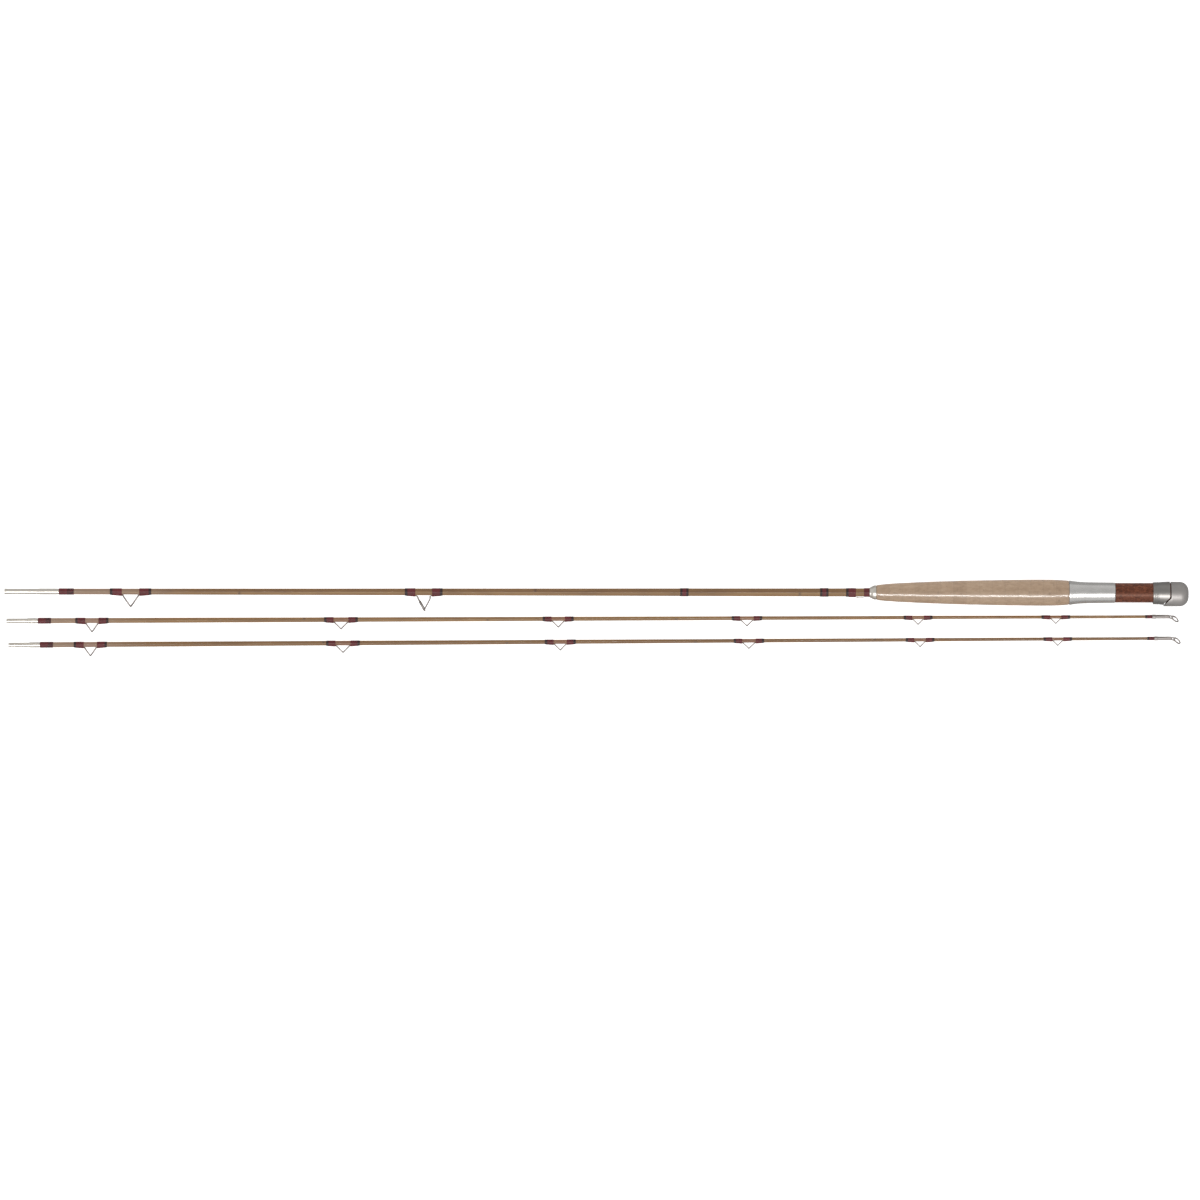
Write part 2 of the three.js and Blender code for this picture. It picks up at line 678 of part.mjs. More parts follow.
// The tip-top: a socket tube with a wire loop brazed to it that hangs below the axis.
function tipTop() {
  const start = TIP.topWrapEnd + FIT;
  const end = TIP.tubeEnd;
  const tube = turned([
    [start, TUBE_BORE],
    [start, 2],
    [start + 3.2, 2],
    [start + 3.6, TUBE_RADIUS],
    [end - 0.4, TUBE_RADIUS],
    [end, TUBE_RADIUS - 0.5],
    [end, 0],
    [end - 2, 0],
    [end - 2, TUBE_BORE],
  ], 16);
  const centre = new THREE.Vector3(end + LOOP_AHEAD, -LOOP_DROP, 0);
  const loop = solidOf(
    new THREE.TorusGeometry(LOOP_RADIUS, LOOP_WIRE, 6, 18)
      .rotateY(Math.PI / 2)
      .rotateZ(LOOP_TILT)
      .translate(centre.x, centre.y, centre.z),
  );
  const arms = [-1, 1].map((side) =>
    bentWire(
      [
        new THREE.Vector3(end - 7, 0, side * (TUBE_RADIUS + 0.1)),
        new THREE.Vector3(end - 1, -0.1, side * (TUBE_RADIUS + 0.25)),
        new THREE.Vector3(end + 2.2, -1, side * 2.7),
        new THREE.Vector3(centre.x, centre.y, side * LOOP_RADIUS),
      ],
      LOOP_WIRE * 0.95,
      6,
    ),
  );
  return union([loop, ...arms]).rotate([LOOP_ROLL, 0, 0]).add(tube);
}

function tipSection(number, { x, y, turn, firstGuide }) {
  const group = new THREE.Group();
  group.position.set(x, y, TIP_HEIGHT);
  group.rotation.z = turn;
  const add = (name, solid, finish) => place(group, `tip_${number}_${name}`, solid, finish);
  add("cane", tipStrips(), "cane");
  add("male_ferrule", maleFerrule(), "nickel");
  add("ferrule_wrap", winding(tipCane, TIP.bodyEnd, TIP.wrapEnd), "silk");
  TIP_SNAKES.forEach((guide, i) => {
    const station = guide.station + (i === 0 ? firstGuide : 0);
    add(`snake_guide_${i + 1}`, snakeGuide(tipCane, guide, station), "steel");
    add(`guide_wraps_${i + 1}`, guideWindings(tipCane, guide, station), "silk");
  });
  add("top_wrap", winding(tipCane, TIP.topWrapStart, TIP.topWrapEnd), "silk");
  add("tip_top", tipTop(), "steel");
  return group;
}

const flyRod = new THREE.Group();
flyRod.add(buttSection());
TIP_PLACES.forEach((spot, i) => flyRod.add(tipSection(i + 1, spot)));

export default flyRod;
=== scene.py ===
# The looks of a split-cane fly rod laid apart: a butt section and two matching tips.
# Lengths inside a section are in millimetres: x along its cane, guides towards -y, z up.
import json
from math import atan2, cos, pi, radians, sin

import bmesh
import bpy
import numpy as np
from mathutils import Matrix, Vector

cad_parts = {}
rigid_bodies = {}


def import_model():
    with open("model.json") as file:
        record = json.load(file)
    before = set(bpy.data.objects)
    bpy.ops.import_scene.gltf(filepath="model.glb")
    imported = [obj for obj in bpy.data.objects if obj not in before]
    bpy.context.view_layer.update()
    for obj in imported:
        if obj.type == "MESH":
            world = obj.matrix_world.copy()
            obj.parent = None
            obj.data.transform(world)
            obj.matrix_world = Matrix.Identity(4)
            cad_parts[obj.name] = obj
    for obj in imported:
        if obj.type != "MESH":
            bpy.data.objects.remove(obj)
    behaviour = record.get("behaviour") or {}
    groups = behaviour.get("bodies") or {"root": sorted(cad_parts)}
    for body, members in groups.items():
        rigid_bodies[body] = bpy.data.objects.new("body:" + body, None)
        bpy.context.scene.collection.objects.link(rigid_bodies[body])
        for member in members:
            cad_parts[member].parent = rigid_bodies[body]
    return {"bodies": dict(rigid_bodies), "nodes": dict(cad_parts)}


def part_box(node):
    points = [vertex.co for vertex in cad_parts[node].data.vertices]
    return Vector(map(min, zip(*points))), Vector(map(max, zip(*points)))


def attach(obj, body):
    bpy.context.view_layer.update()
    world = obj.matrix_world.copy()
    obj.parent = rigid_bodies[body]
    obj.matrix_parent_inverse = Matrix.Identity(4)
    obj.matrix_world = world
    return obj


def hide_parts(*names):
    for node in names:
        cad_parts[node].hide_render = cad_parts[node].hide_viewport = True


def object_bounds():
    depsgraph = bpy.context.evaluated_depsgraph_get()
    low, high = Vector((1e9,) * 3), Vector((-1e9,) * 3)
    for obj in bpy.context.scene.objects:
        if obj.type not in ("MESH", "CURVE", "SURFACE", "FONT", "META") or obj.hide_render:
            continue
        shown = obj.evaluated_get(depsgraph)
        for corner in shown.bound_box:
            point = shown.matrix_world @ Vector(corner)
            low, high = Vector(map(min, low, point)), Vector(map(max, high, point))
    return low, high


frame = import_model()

CAD_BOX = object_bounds()
MM = 0.001
SILK = 0.32  # thread and varnish over the cane
THREAD = 0.3  # pitch of the thread's turns
CANE_CORNER = 0.28  # rounding of the cane's corners
STRIP_TURNS = (-30, -29, -27, -20, -10, 0, 10, 20, 27, 29)  # degrees round one of the cane's six strips
SEAM_SHARE = (1, 0.6, 0.1, 0, 0, 0, 0, 0, 0.1, 0.6)  # how much of a glue line lies at each of them
GAPS = {  # bare cane between a guide's two windings
    "butt_snake": 17.2,
    "stripping_guide": 16.4,
    "tip": (13, 14.6, 13, 13.2, 11.4, 10.9),
}
WIRES = {  # wire radii
    "butt_snake": 0.78,
    "stripping_guide": 0.75,
    "tip": (0.65, 0.6, 0.56, 0.53, 0.5, 0.48),
}
CORK_RINGS = 15
SEAT_BORE = 4.1  # of the cork and the spacer, over the cane
SPIGOT = 8.7  # radius of the spacer inside the sleeve and the cap
SLANT_ROOT = 5.3  # height on the guides' side at which the cap's mouth starts to slant forward
SLANT_REACH, SLANT_RISE = 7.4, 7.6  # it comes this far forward over this much more height


def circle(count):
    """Angles evenly round a circle."""
    return np.linspace(0, 2 * pi, count, endpoint=False)


def facing(angles):
    """Unit directions at these angles."""
    return np.stack([np.cos(angles), np.sin(angles)], -1)


ROUND = circle(160)  # directions round the reel seat


# ---- sections of the rod


class Section:
    """A section's own frame. Its CAD nodes give the place; a tip's axis runs through two of them."""

    def __init__(self, body, prefix="", ends=None):
        self.body, self.prefix = body, prefix
        self.origin, self.basis = np.zeros(3), np.eye(3)
        if ends:
            first, last = (np.array(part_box(prefix + n)).mean(0) for n in ends)
            along = (last - first) / np.linalg.norm(last - first)
            side = np.cross((0, 0, 1), along)
            side /= np.linalg.norm(side)
            self.basis = np.array([along, side, np.cross(along, side)])
            self.origin = first
            self.origin = first + along * self.span(ends[0])[0] * MM

    def points(self, node):
        """A CAD node's vertices in this section's frame."""
        mesh = frame["nodes"][self.prefix + node].data
        world = np.array([v.co for v in mesh.vertices], float)
        return (world - self.origin) @ self.basis.T / MM

    def span(self, node):
        """Where a CAD node starts and ends along the section."""
        along = self.points(node)[:, 0]
        return along.min(), along.max()

    def flat(self, node, x):
        """Half the distance across the cane's flats where a CAD node has a ring of corners."""
        points = self.points(node)
        return abs(points[abs(points[:, 0] - x) < 0.2, 1]).max()

    def world(self, points):
        return self.origin + (points * MM) @ self.basis


def outline(points, centre=0.0):
    """The outside of a turned CAD node: (x, largest radius) at each of its rings."""
    radius = np.hypot(points[:, 1] - centre, points[:, 2])
    stations = np.round(points[:, 0], 2)
    return [(x, radius[stations == x].max()) for x in np.unique(stations)]


# ---- mesh building


def add(name, data):
    """A new object in the scene."""
    made = bpy.data.objects.new(name, data)
    bpy.context.scene.collection.objects.link(made)
    return made


def loft(rings, closed=False, **attributes):
    """A skin over rings of points; closed joins the last ring to the first, otherwise ends are capped."""
    rings = np.asarray(rings, float)
    count, around = rings.shape[:2]
    faces = []
    for i in range(count if closed else count - 1):
        a, b = i * around, (i + 1) % count * around
        faces += [(a + k, a + (k + 1) % around, b + (k + 1) % around, b + k) for k in range(around)]
    if not closed:
        faces.append(tuple(range(around)))
        faces.append(tuple(range((count - 1) * around, count * around)))
    values = {}
    for name, value in attributes.items():
        value = np.asarray(value, float)
        value = value[:, None] if value.ndim == 1 else value
        values[name] = np.broadcast_to(value, (count, around)).ravel()
    return rings.reshape(-1, 3), faces, values


def piece(name, section, parts, look, node, body=None, sharp=40):
    """One visual piece from lofted parts. It rides on its section's body and stands for a CAD node."""
    slot, material = LOOKS[look]
    points, faces, start = [], [], 0
    for verts, quads, _ in parts:
        points.append(verts)
        faces += [tuple(i + start for i in quad) for quad in quads]
        start += len(verts)
    mesh = bpy.data.meshes.new(name)
    mesh.from_pydata(section.world(np.concatenate(points)).tolist(), [], faces)
    for key in sorted({k for part in parts for k in part[2]}):
        data = [part[2].get(key, np.zeros(len(part[0]))) for part in parts]
        mesh.attributes.new(key, "FLOAT", "POINT").data.foreach_set("value", np.concatenate(data))
    work = bmesh.new()
    work.from_mesh(mesh)
    bmesh.ops.recalc_face_normals(work, faces=work.faces)
    work.to_mesh(mesh)
    work.free()
    mesh.shade_smooth()
    mesh.set_sharp_from_angle(angle=radians(sharp))
    mesh.materials.append(material)
    made = add(name, mesh)
    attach(made, body or section.body)
    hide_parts(section.prefix + node)


def rounded(points, radius, closed=False, steps=3):
    """A profile with its corners rounded; a point may carry its own radius as a third value."""
    out = []
    for i, point in enumerate(points):
        here = np.array(point[:2], float)
        before = np.array(points[i - 1][:2]) - here
        after = np.array(points[(i + 1) % len(points)][:2]) - here
        reach = point[2] if len(point) > 2 else radius
        if reach == 0 or (not closed and i in (0, len(points) - 1)):
            out.append(here)
            continue
        lengths = np.linalg.norm(before), np.linalg.norm(after)
        cut = min(reach, 0.48 * lengths[0], 0.48 * lengths[1])
        a, b = here + before / lengths[0] * cut, here + after / lengths[1] * cut
        for t in np.linspace(0, 1, steps + 1):
            out.append((1 - t) ** 2 * a + 2 * t * (1 - t) * here + t * t * b)
    return np.array(out)


def turned(profile, sides=64, closed=True, centre=0.0, **attributes):
    """A lathe-turned part about x, from a profile of (x, radius)."""
    angles = circle(sides)
    profile = np.asarray(profile, float)
    x, radius = profile[:, 0, None], np.maximum(profile[:, 1, None], 0.002)
    rings = np.stack([x + 0 * angles, radius * np.cos(angles) + centre, radius * np.sin(angles)], -1)
    return loft(rings, closed, **attributes)


def smooth_path(points, per=6):
    """A Catmull-Rom curve through the points."""
    p = np.array([2 * np.array(points[0]) - points[1], *points, 2 * np.array(points[-1]) - points[-2]])
    out = []
    for a, b, c, d in zip(p, p[1:], p[2:], p[3:]):
        bend, sway = 2 * a - 5 * b + 4 * c - d, 3 * b - a - 3 * c + d
        for t in np.linspace(0, 1, per, endpoint=False):
            out.append(0.5 * (2 * b + (c - a) * t + bend * t**2 + sway * t**3))
    return np.array([*out, p[-2]])


def sweep(path, wide, high, sides=14, up=(0, -1, 0)):
    """A wire along a path, an ellipse in section; its height lies along `up` at both ends."""
    path = np.asarray(path, float)
    tangents = np.gradient(path, axis=0)
    tangents /= np.linalg.norm(tangents, axis=1)[:, None]
    normals = []
    normal = np.array(up, float)
    for tangent in tangents:
        normal = normal - normal @ tangent * tangent
        normal /= np.linalg.norm(normal)
        normals.append(normal)
    last, goal = tangents[-1], np.array(up, float)
    goal = goal - goal @ last * last
    goal /= np.linalg.norm(goal)
    twist = atan2(np.cross(normals[-1], goal) @ last, normals[-1] @ goal)
    shares = np.linspace(0, 1, len(path))
    wide, high = np.broadcast_to(wide, len(path)), np.broadcast_to(high, len(path))
    angles = circle(sides)
    rings = []
    for i, (centre, tangent, normal) in enumerate(zip(path, tangents, normals)):
        side = np.cross(tangent, normal)
        turn = twist * shares[i]
        n = normal * cos(turn) + side * sin(turn)
        s = np.cross(tangent, n)
        rings.append(centre + np.outer(np.cos(angles) * high[i], n) + np.outer(np.sin(angles) * wide[i], s))
    return loft(rings)


def hoop(centre, u, v, radius, wire, steps=64, sides=14):
    """A round wire ring in the plane of u and v."""
    u, v = np.array(u, float), np.array(v, float)
    axle = np.cross(u, v)
    across, over = facing(circle(sides)).T
    rings = []
    for angle in circle(steps):
        out = u * cos(angle) + v * sin(angle)
        rings.append(np.array(centre) + out * radius + wire * (np.outer(across, out) + np.outer(over, axle)))
    return loft(rings, closed=True)


# ---- materials


def feed(tree, socket, value):
    """Gives a socket a value or another node's output."""
    if isinstance(value, bpy.types.NodeSocket):
        tree.links.new(value, socket)
    else:
        socket.default_value = value


def link(tree, kind, inputs=None, **settings):
    """A shader node with its settings and inputs."""
    made = tree.nodes.new(kind)
    for name, value in settings.items():
        setattr(made, name, value)
    for name, value in (inputs or {}).items():
        feed(tree, made.inputs[name], value)
    return made


def srgb(r, g, b):
    """A linear colour from 8-bit display values."""
    return (*(((c / 255 + 0.055) / 1.055) ** 2.4 if c > 10 else c / 3294.6 for c in (r, g, b)), 1)


class Finish:
    """A procedural material built round one principled shader."""

    def __init__(self, name):
        self.material = bpy.data.materials.new(name)
        self.material.use_nodes = True
        self.tree = self.material.node_tree
        self.shader = self.tree.nodes["Principled BSDF"]
        self.coords = link(self.tree, "ShaderNodeTexCoord").outputs["Object"]

    def stretched(self, x, y, z):
        """Coordinates with so many features to the metre along each axis."""
        values = {"Vector": self.coords, "Scale": (x, y, z)}
        return link(self.tree, "ShaderNodeMapping", values).outputs["Vector"]

    def noise(self, scale, detail=4.0, rough=0.6, distortion=0.0):
        values = {"Vector": self.stretched(*scale), "Scale": 1.0, "Detail": detail, "Roughness": rough,
                  "Distortion": distortion}
        return link(self.tree, "ShaderNodeTexNoise", values).outputs["Fac"]

    def cells(self, scale, randomness=1.0):
        values = {"Vector": self.stretched(*scale), "Scale": 1.0, "Randomness": randomness}
        return link(self.tree, "ShaderNodeTexVoronoi", values).outputs["Distance"]

    def attribute(self, name):
        return link(self.tree, "ShaderNodeAttribute", attribute_name=name).outputs["Fac"]

    def ramp(self, value, *stops):
        made = link(self.tree, "ShaderNodeValToRGB", {"Fac": value})
        elements = made.color_ramp.elements
        while len(elements) < len(stops):
            elements.new(0.5)
        for element, (position, colour) in zip(elements, stops):
            element.position = position
            element.color = colour if hasattr(colour, "__len__") else (colour, colour, colour, 1)
        return made.outputs["Color"]

    def mix(self, share, a, b):
        made = link(self.tree, "ShaderNodeMix", data_type="RGBA")
        for socket, value in ((0, share), (6, a), (7, b)):
            feed(self.tree, made.inputs[socket], value)
        return made.outputs[2]

    def stain(self, colour, mark, strength, tone):
        """The colour with another laid over it where a mark is."""
        return self.mix(self.maths("MULTIPLY", mark, strength), colour, tone)

    def maths(self, how, *values):
        made = link(self.tree, "ShaderNodeMath", operation=how)
        for i, value in enumerate(values):
            feed(self.tree, made.inputs[i], value)
        return made.outputs[0]

    def blend(self, a, share_a, b, share_b):
        return self.maths("ADD", self.maths("MULTIPLY", a, share_a), self.maths("MULTIPLY", b, share_b))

    def bump(self, height, depth_mm, strength=1.0):
        values = {"Height": height, "Distance": depth_mm * MM, "Strength": strength}
        return link(self.tree, "ShaderNodeBump", values).outputs["Normal"]

    def set(self, **inputs):
        for name, value in inputs.items():
            feed(self.tree, self.shader.inputs[name.replace("_", " ")], value)
        return self.material


def cane_finish(name, dark, mid, pale):
    """Varnished bamboo: long fibres, a tone to each strip, darker nodes and glue lines, and a paler stretch
    that is a painted highlight.
    """
    f = Finish(name)
    fibres = f.noise((14, 2600, 2600), 5, 0.65)
    bundles = f.noise((5, 700, 700), 3)
    flame = f.noise((38, 120, 120), 3, 0.5, 0.6)
    grain = f.blend(fibres, 0.6, bundles, 0.4)
    grain = f.maths("ADD", grain, f.maths("MULTIPLY", f.attribute("strip"), 0.1))
    colour = f.ramp(grain, (0.32, dark), (0.5, mid), (0.68, pale))
    colour = f.mix(f.ramp(flame, (0.42, 0.0), (0.7, 0.45)), colour, dark)
    colour = f.stain(colour, f.attribute("node"), 0.6, srgb(70, 46, 30))
    colour = f.stain(colour, f.attribute("seam"), 0.55, srgb(66, 44, 30))
    colour = f.stain(colour, f.attribute("film"), 0.3, srgb(150, 92, 82))
    # painted highlight: a paler tint where a glare lies on the varnish
    colour = f.stain(colour, f.attribute("haze"), 0.4, srgb(180, 158, 146))
    return f.set(
        Base_Color=colour,
        Roughness=f.ramp(fibres, (0.3, 0.36), (0.7, 0.5)),
        Normal=f.bump(fibres, 0.02, 0.35),
        Coat_Weight=0.8,
        Coat_Roughness=0.14,
    )


def silk_finish():
    """Varnished silk thread: crimson, near-black tippings, and a speckled band on the ferrule ends."""
    f = Finish("silk")
    turns = f.noise((3400, 260, 260), 2)
    patches = f.noise((90, 240, 240), 3)
    tone = f.blend(turns, 0.65, patches, 0.35)
    red = f.ramp(tone, (0.3, srgb(68, 8, 12)), (0.5, srgb(100, 16, 22)), (0.7, srgb(128, 38, 42)))
    black = f.ramp(tone, (0.3, srgb(26, 5, 5)), (0.7, srgb(60, 24, 22)))
    speckle = f.noise((1500, 900, 900), 2)
    speckle = f.maths("MULTIPLY", f.attribute("speckle"), f.ramp(speckle, (0.47, 0.0), (0.52, 1.0)))
    dark = f.maths("MAXIMUM", f.attribute("tipping"), speckle)
    return f.set(
        Base_Color=f.mix(dark, red, black),
        Roughness=0.55,
        Specular_IOR_Level=0.35,
        Normal=f.bump(turns, 0.03, 0.5),
        Coat_Weight=0.35,
        Coat_Roughness=0.2,
    )


def cork_finish():
    """Rings of cork, sanded smooth: a tone to each ring, pores and darker flecks."""
    f = Finish("cork")
    body = f.noise((160, 420, 420), 6, 0.6, 0.4)
    fine = f.noise((1500, 1500, 1500), 4, 0.7)
    tone = f.blend(body, 0.6, fine, 0.4)
    tone = f.maths("ADD", tone, f.maths("MULTIPLY", f.attribute("ring"), 0.05))
    colour = f.ramp(tone, (0.33, srgb(154, 124, 95)), (0.5, srgb(172, 141, 110)), (0.68, srgb(186, 158, 128)))
    flecks = f.ramp(f.cells((420, 520, 520)), (0.1, 1.0), (0.26, 0.0))
    chosen = f.ramp(f.noise((120, 160, 160), 3), (0.52, 0.0), (0.64, 1.0))
    marks = f.maths("MULTIPLY", f.maths("MULTIPLY", flecks, chosen), 0.5)
    colour = f.mix(marks, colour, srgb(118, 88, 66))
    colour = f.stain(colour, f.attribute("pit"), 0.6, srgb(112, 84, 62))
    colour = f.stain(colour, f.attribute("joint"), 0.18, srgb(120, 94, 72))
    height = f.maths("SUBTRACT", fine, marks)
    ripple = f.noise((70, 260, 260), 2, 0.4)
    return f.set(
        Base_Color=colour,
        Roughness=f.ramp(body, (0.35, 0.5), (0.7, 0.65)),
        Normal=f.bump(height, 0.04, 0.3),
        Coat_Weight=1.0,
        Coat_IOR=1.7,
        Coat_Roughness=0.14,
        Coat_Normal=f.bump(ripple, 0.25, 0.4),
    )


def burl_finish():
    """Polished reddish burl: swirls round dark eyes."""
    f = Finish("burl")
    swirl = f.noise((190, 260, 260), 8, 0.62, 2.2)
    fine = f.noise((900, 1500, 1500), 5, 0.7, 0.8)
    tone = f.blend(swirl, 0.72, fine, 0.28)
    browns = srgb(46, 18, 10), srgb(86, 42, 26), srgb(112, 60, 40), srgb(150, 96, 66)
    colour = f.ramp(tone, *zip((0.34, 0.46, 0.56, 0.7), browns))
    eyes = f.ramp(f.cells((210, 260, 260)), (0.05, 1.0), (0.3, 0.0))
    colour = f.stain(colour, eyes, 0.7, srgb(48, 28, 24))
    return f.set(
        Base_Color=colour,
        Roughness=0.42,
        Normal=f.bump(fine, 0.02, 0.3),
        Specular_IOR_Level=0.5,
        Specular_Tint=srgb(255, 200, 176),
        Coat_Weight=0.1,
        Coat_Roughness=0.3,
    )


def metal(name, colour, rough, turned_marks, cloud=0.06, scale=1.0, metallic=1.0, slot=None):
    """A slot and its metal, with fine lathe marks round x, soft clouding and hairline scratches."""
    f = Finish(name)
    clouds = f.noise((120 * scale, 160 * scale, 160 * scale), 4)
    marks = f.noise((5200, 60, 60), 3, 0.7)
    scratches = f.noise((60, 2400, 1400), 2, 0.5, 1.5)
    roughness = f.maths("ADD", rough - cloud / 2, f.maths("MULTIPLY", clouds, cloud))
    roughness = f.maths("ADD", roughness, f.ramp(scratches, (0.66, 0.0), (0.72, 0.12)))
    shade = [c * 0.8 for c in colour[:3]] + [1]
    height = f.blend(marks, turned_marks, scratches, 0.1)
    material = f.set(
        Base_Color=f.mix(f.ramp(clouds, (0.35, 0.35), (0.65, 0.0)), colour, shade),
        Metallic=metallic,
        Roughness=roughness,
        Normal=f.bump(height, 0.015, 0.5),
    )
    return slot or name, material


def plug_finish():
    """The sealed wood plug between the ferrule's bores."""
    f = Finish("plug")
    rings = f.noise((400, 2200, 2200), 4, 0.6, 0.5)
    return f.set(
        Base_Color=f.ramp(rings, (0.35, srgb(70, 54, 40)), (0.65, srgb(110, 88, 66))),
        Roughness=0.6,
        Normal=f.bump(rings, 0.03, 0.4),
    )


def floor_finish():
    """A plain pale sweep, nearly white to look at and a middle grey where metal mirrors it."""
    f = Finish("floor")
    mottle = f.noise((3, 3, 3), 2)
    material = f.set(
        Base_Color=f.ramp(mottle, (0.3, 0.9), (0.7, 0.93)),
        Roughness=0.9,
        Emission_Color=(1, 1, 1, 1),
        Emission_Strength=FLOOR_GLOW,
    )
    mirrored = link(f.tree, "ShaderNodeLightPath").outputs["Is Glossy Ray"]
    grey = link(f.tree, "ShaderNodeEmission", {"Color": (*[FLOOR_IN_METAL] * 3, 1)}).outputs[0]
    both = link(f.tree, "ShaderNodeMixShader", {0: mirrored, 1: f.shader.outputs[0], 2: grey})
    f.tree.links.new(both.outputs[0], f.tree.nodes["Material Output"].inputs["Surface"])
    material.cycles.emission_sampling = "NONE"
    return material


# ---- cane and thread


def hex_support(directions, half_flat, corner):
    """How far a rounded hexagon with flats towards -y and y reaches in each direction."""
    inner = (half_flat - corner) / cos(pi / 6)
    angles = pi / 6 + np.arange(6) * pi / 3
    return (directions @ (inner * facing(angles)).T).max(1) + corner


def hull_radius(angles, supports):
    """The outline of the tightest wrapping, as a radius at each angle, from its reach in many directions."""
    share = facing(angles) @ facing(circle(len(supports))).T
    return np.where(share > 0.05, supports / np.maximum(share, 0.05), 1e9).min(1)


def around(x, radius, angles):
    """A ring of points at station x."""
    return np.stack([np.full(len(angles), x), radius * np.cos(angles), radius * np.sin(angles)], -1)


class Cane:
    """The taper of a section's cane, read from its CAD node."""

    def __init__(self, section, node, x0, x1):
        self.section, self.node, self.x0, self.x1 = section, node, x0, x1
        self.ends = [section.flat(node, x) for x in (x0, x1)]

    def half_flat(self, x):
        return np.interp(x, (self.x0, self.x1), self.ends)

    def build(self, name, look, nodes, films, haze, stubs, seed):
        """Six strips with rounded corners, glue lines and low nodes; stubs are its turned ends.

        Films are stretches with a tint of thread under the varnish; haze is a stretch painted paler, a
        painted highlight of glare on the varnish.
        """
        rng = np.random.default_rng(seed)
        tones = rng.uniform(-1, 1, 6)
        angles = np.radians(np.concatenate([60 * k + np.array(STRIP_TURNS) for k in range(6)]))
        strip = np.repeat(np.arange(6), len(STRIP_TURNS))
        seam = np.tile(SEAM_SHARE, 6)
        stations = set(np.linspace(self.x0, self.x1, 150))
        for place, _ in nodes:
            stations |= {place + d for d in (-5, -3, -2, -1.2, -0.6, 0, 0.6, 1.2, 2, 3, 5)}
        for a, b in (*films, haze):
            stations |= {a - 1, a, a + 1.5, b - 1.5, b, b + 1}
        stations = sorted(x for x in stations if self.x0 <= x <= self.x1)
        normals = facing(circle(96))
        rings, marks, film, cloud = [], [], [], []
        wander = rng.uniform(0, 6, 6)
        for x in stations:
            radius = hull_radius(angles, hex_support(normals, self.half_flat(x), CANE_CORNER))
            radius = radius - 0.035 * seam
            mark = np.zeros(len(angles))
            for place, which in nodes:
                mark += np.exp(-(((x - place) / 1.3) ** 2)) * (strip == which)
            radius = radius + 0.05 * mark + 0.015 * np.sin(x / 37 + wander[strip])
            rings.append(around(x, radius, angles))
            marks.append(np.minimum(mark, 1))
            film.append(max([0.0, *(float(a - 0.5 <= x <= b + 0.5) for a, b in films)]))
            # cloud: the share of the painted highlight at this station, fading out past its stretch
            cloud.append(float(np.interp(x, (haze[0], haze[1], haze[1] + 60), (1, 0.8, 0))))
        body = loft(rings, strip=tones[strip][None], seam=seam[None], node=marks, film=film, haze=cloud)
        ends = [turned(rounded(stub, 0.3), 40, closed=False) for stub in stubs]
        piece(name, self.section, [body, *ends], look, self.node, sharp=75)

    def thread(self, x0, x1, under=None, dark=(0, 0), speckle=(0, 0)):
        """One winding from x0 to x1, drawn tight over the cane and over what lies on its -y flat.

        `under` gives, at x, how far that thing reaches over the flat, low and high, and its half width.
        """
        angles = np.radians(np.arange(0, 360, 9))
        normals = facing(circle(120))
        turns = max(3, round((x1 - x0) / THREAD))
        stations = np.linspace(x0, x1, 2 * turns + 1)
        rings = []
        for i, x in enumerate(stations):
            half = self.half_flat(x)
            reach = hex_support(normals, half, CANE_CORNER)
            lump = under and under(x)
            if lump:
                low, high, wide = lump
                middle, tall = (2 * half + high + low) / 2, (high - low) / 2
                bump = -middle * normals[:, 0] + np.hypot(tall * normals[:, 0], wide * normals[:, 1])
                reach = np.maximum(reach, bump)
            end = min(x - x0, x1 - x)
            groove = 0.05 if i % 2 == 0 else 0
            cover = SILK * min(1, 0.35 + 0.8 * end / THREAD) - groove
            rings.append(around(x, hull_radius(angles, reach + cover), angles))
        for x in (x1, x0):
            reach = hex_support(normals, self.half_flat(x), CANE_CORNER)
            rings.append(around(x, hull_radius(angles, reach - 0.15), angles))
        tipping = [float(x < x0 + dark[0] or x > x1 - dark[1]) for x in stations]
        speckled = [float(x < x0 + speckle[0] or x > x1 - speckle[1]) for x in stations]
        return loft(rings, closed=True, tipping=[*tipping, 0, 0], speckle=[*speckled, 0, 0])


def winding(name, cane, node, **marks):
    """A single winding, as long as its CAD node."""
    thread = cane.thread(*cane.section.span(node), **marks)
    piece(name, cane.section, [thread], "silk", node, sharp=75)


# ---- guides


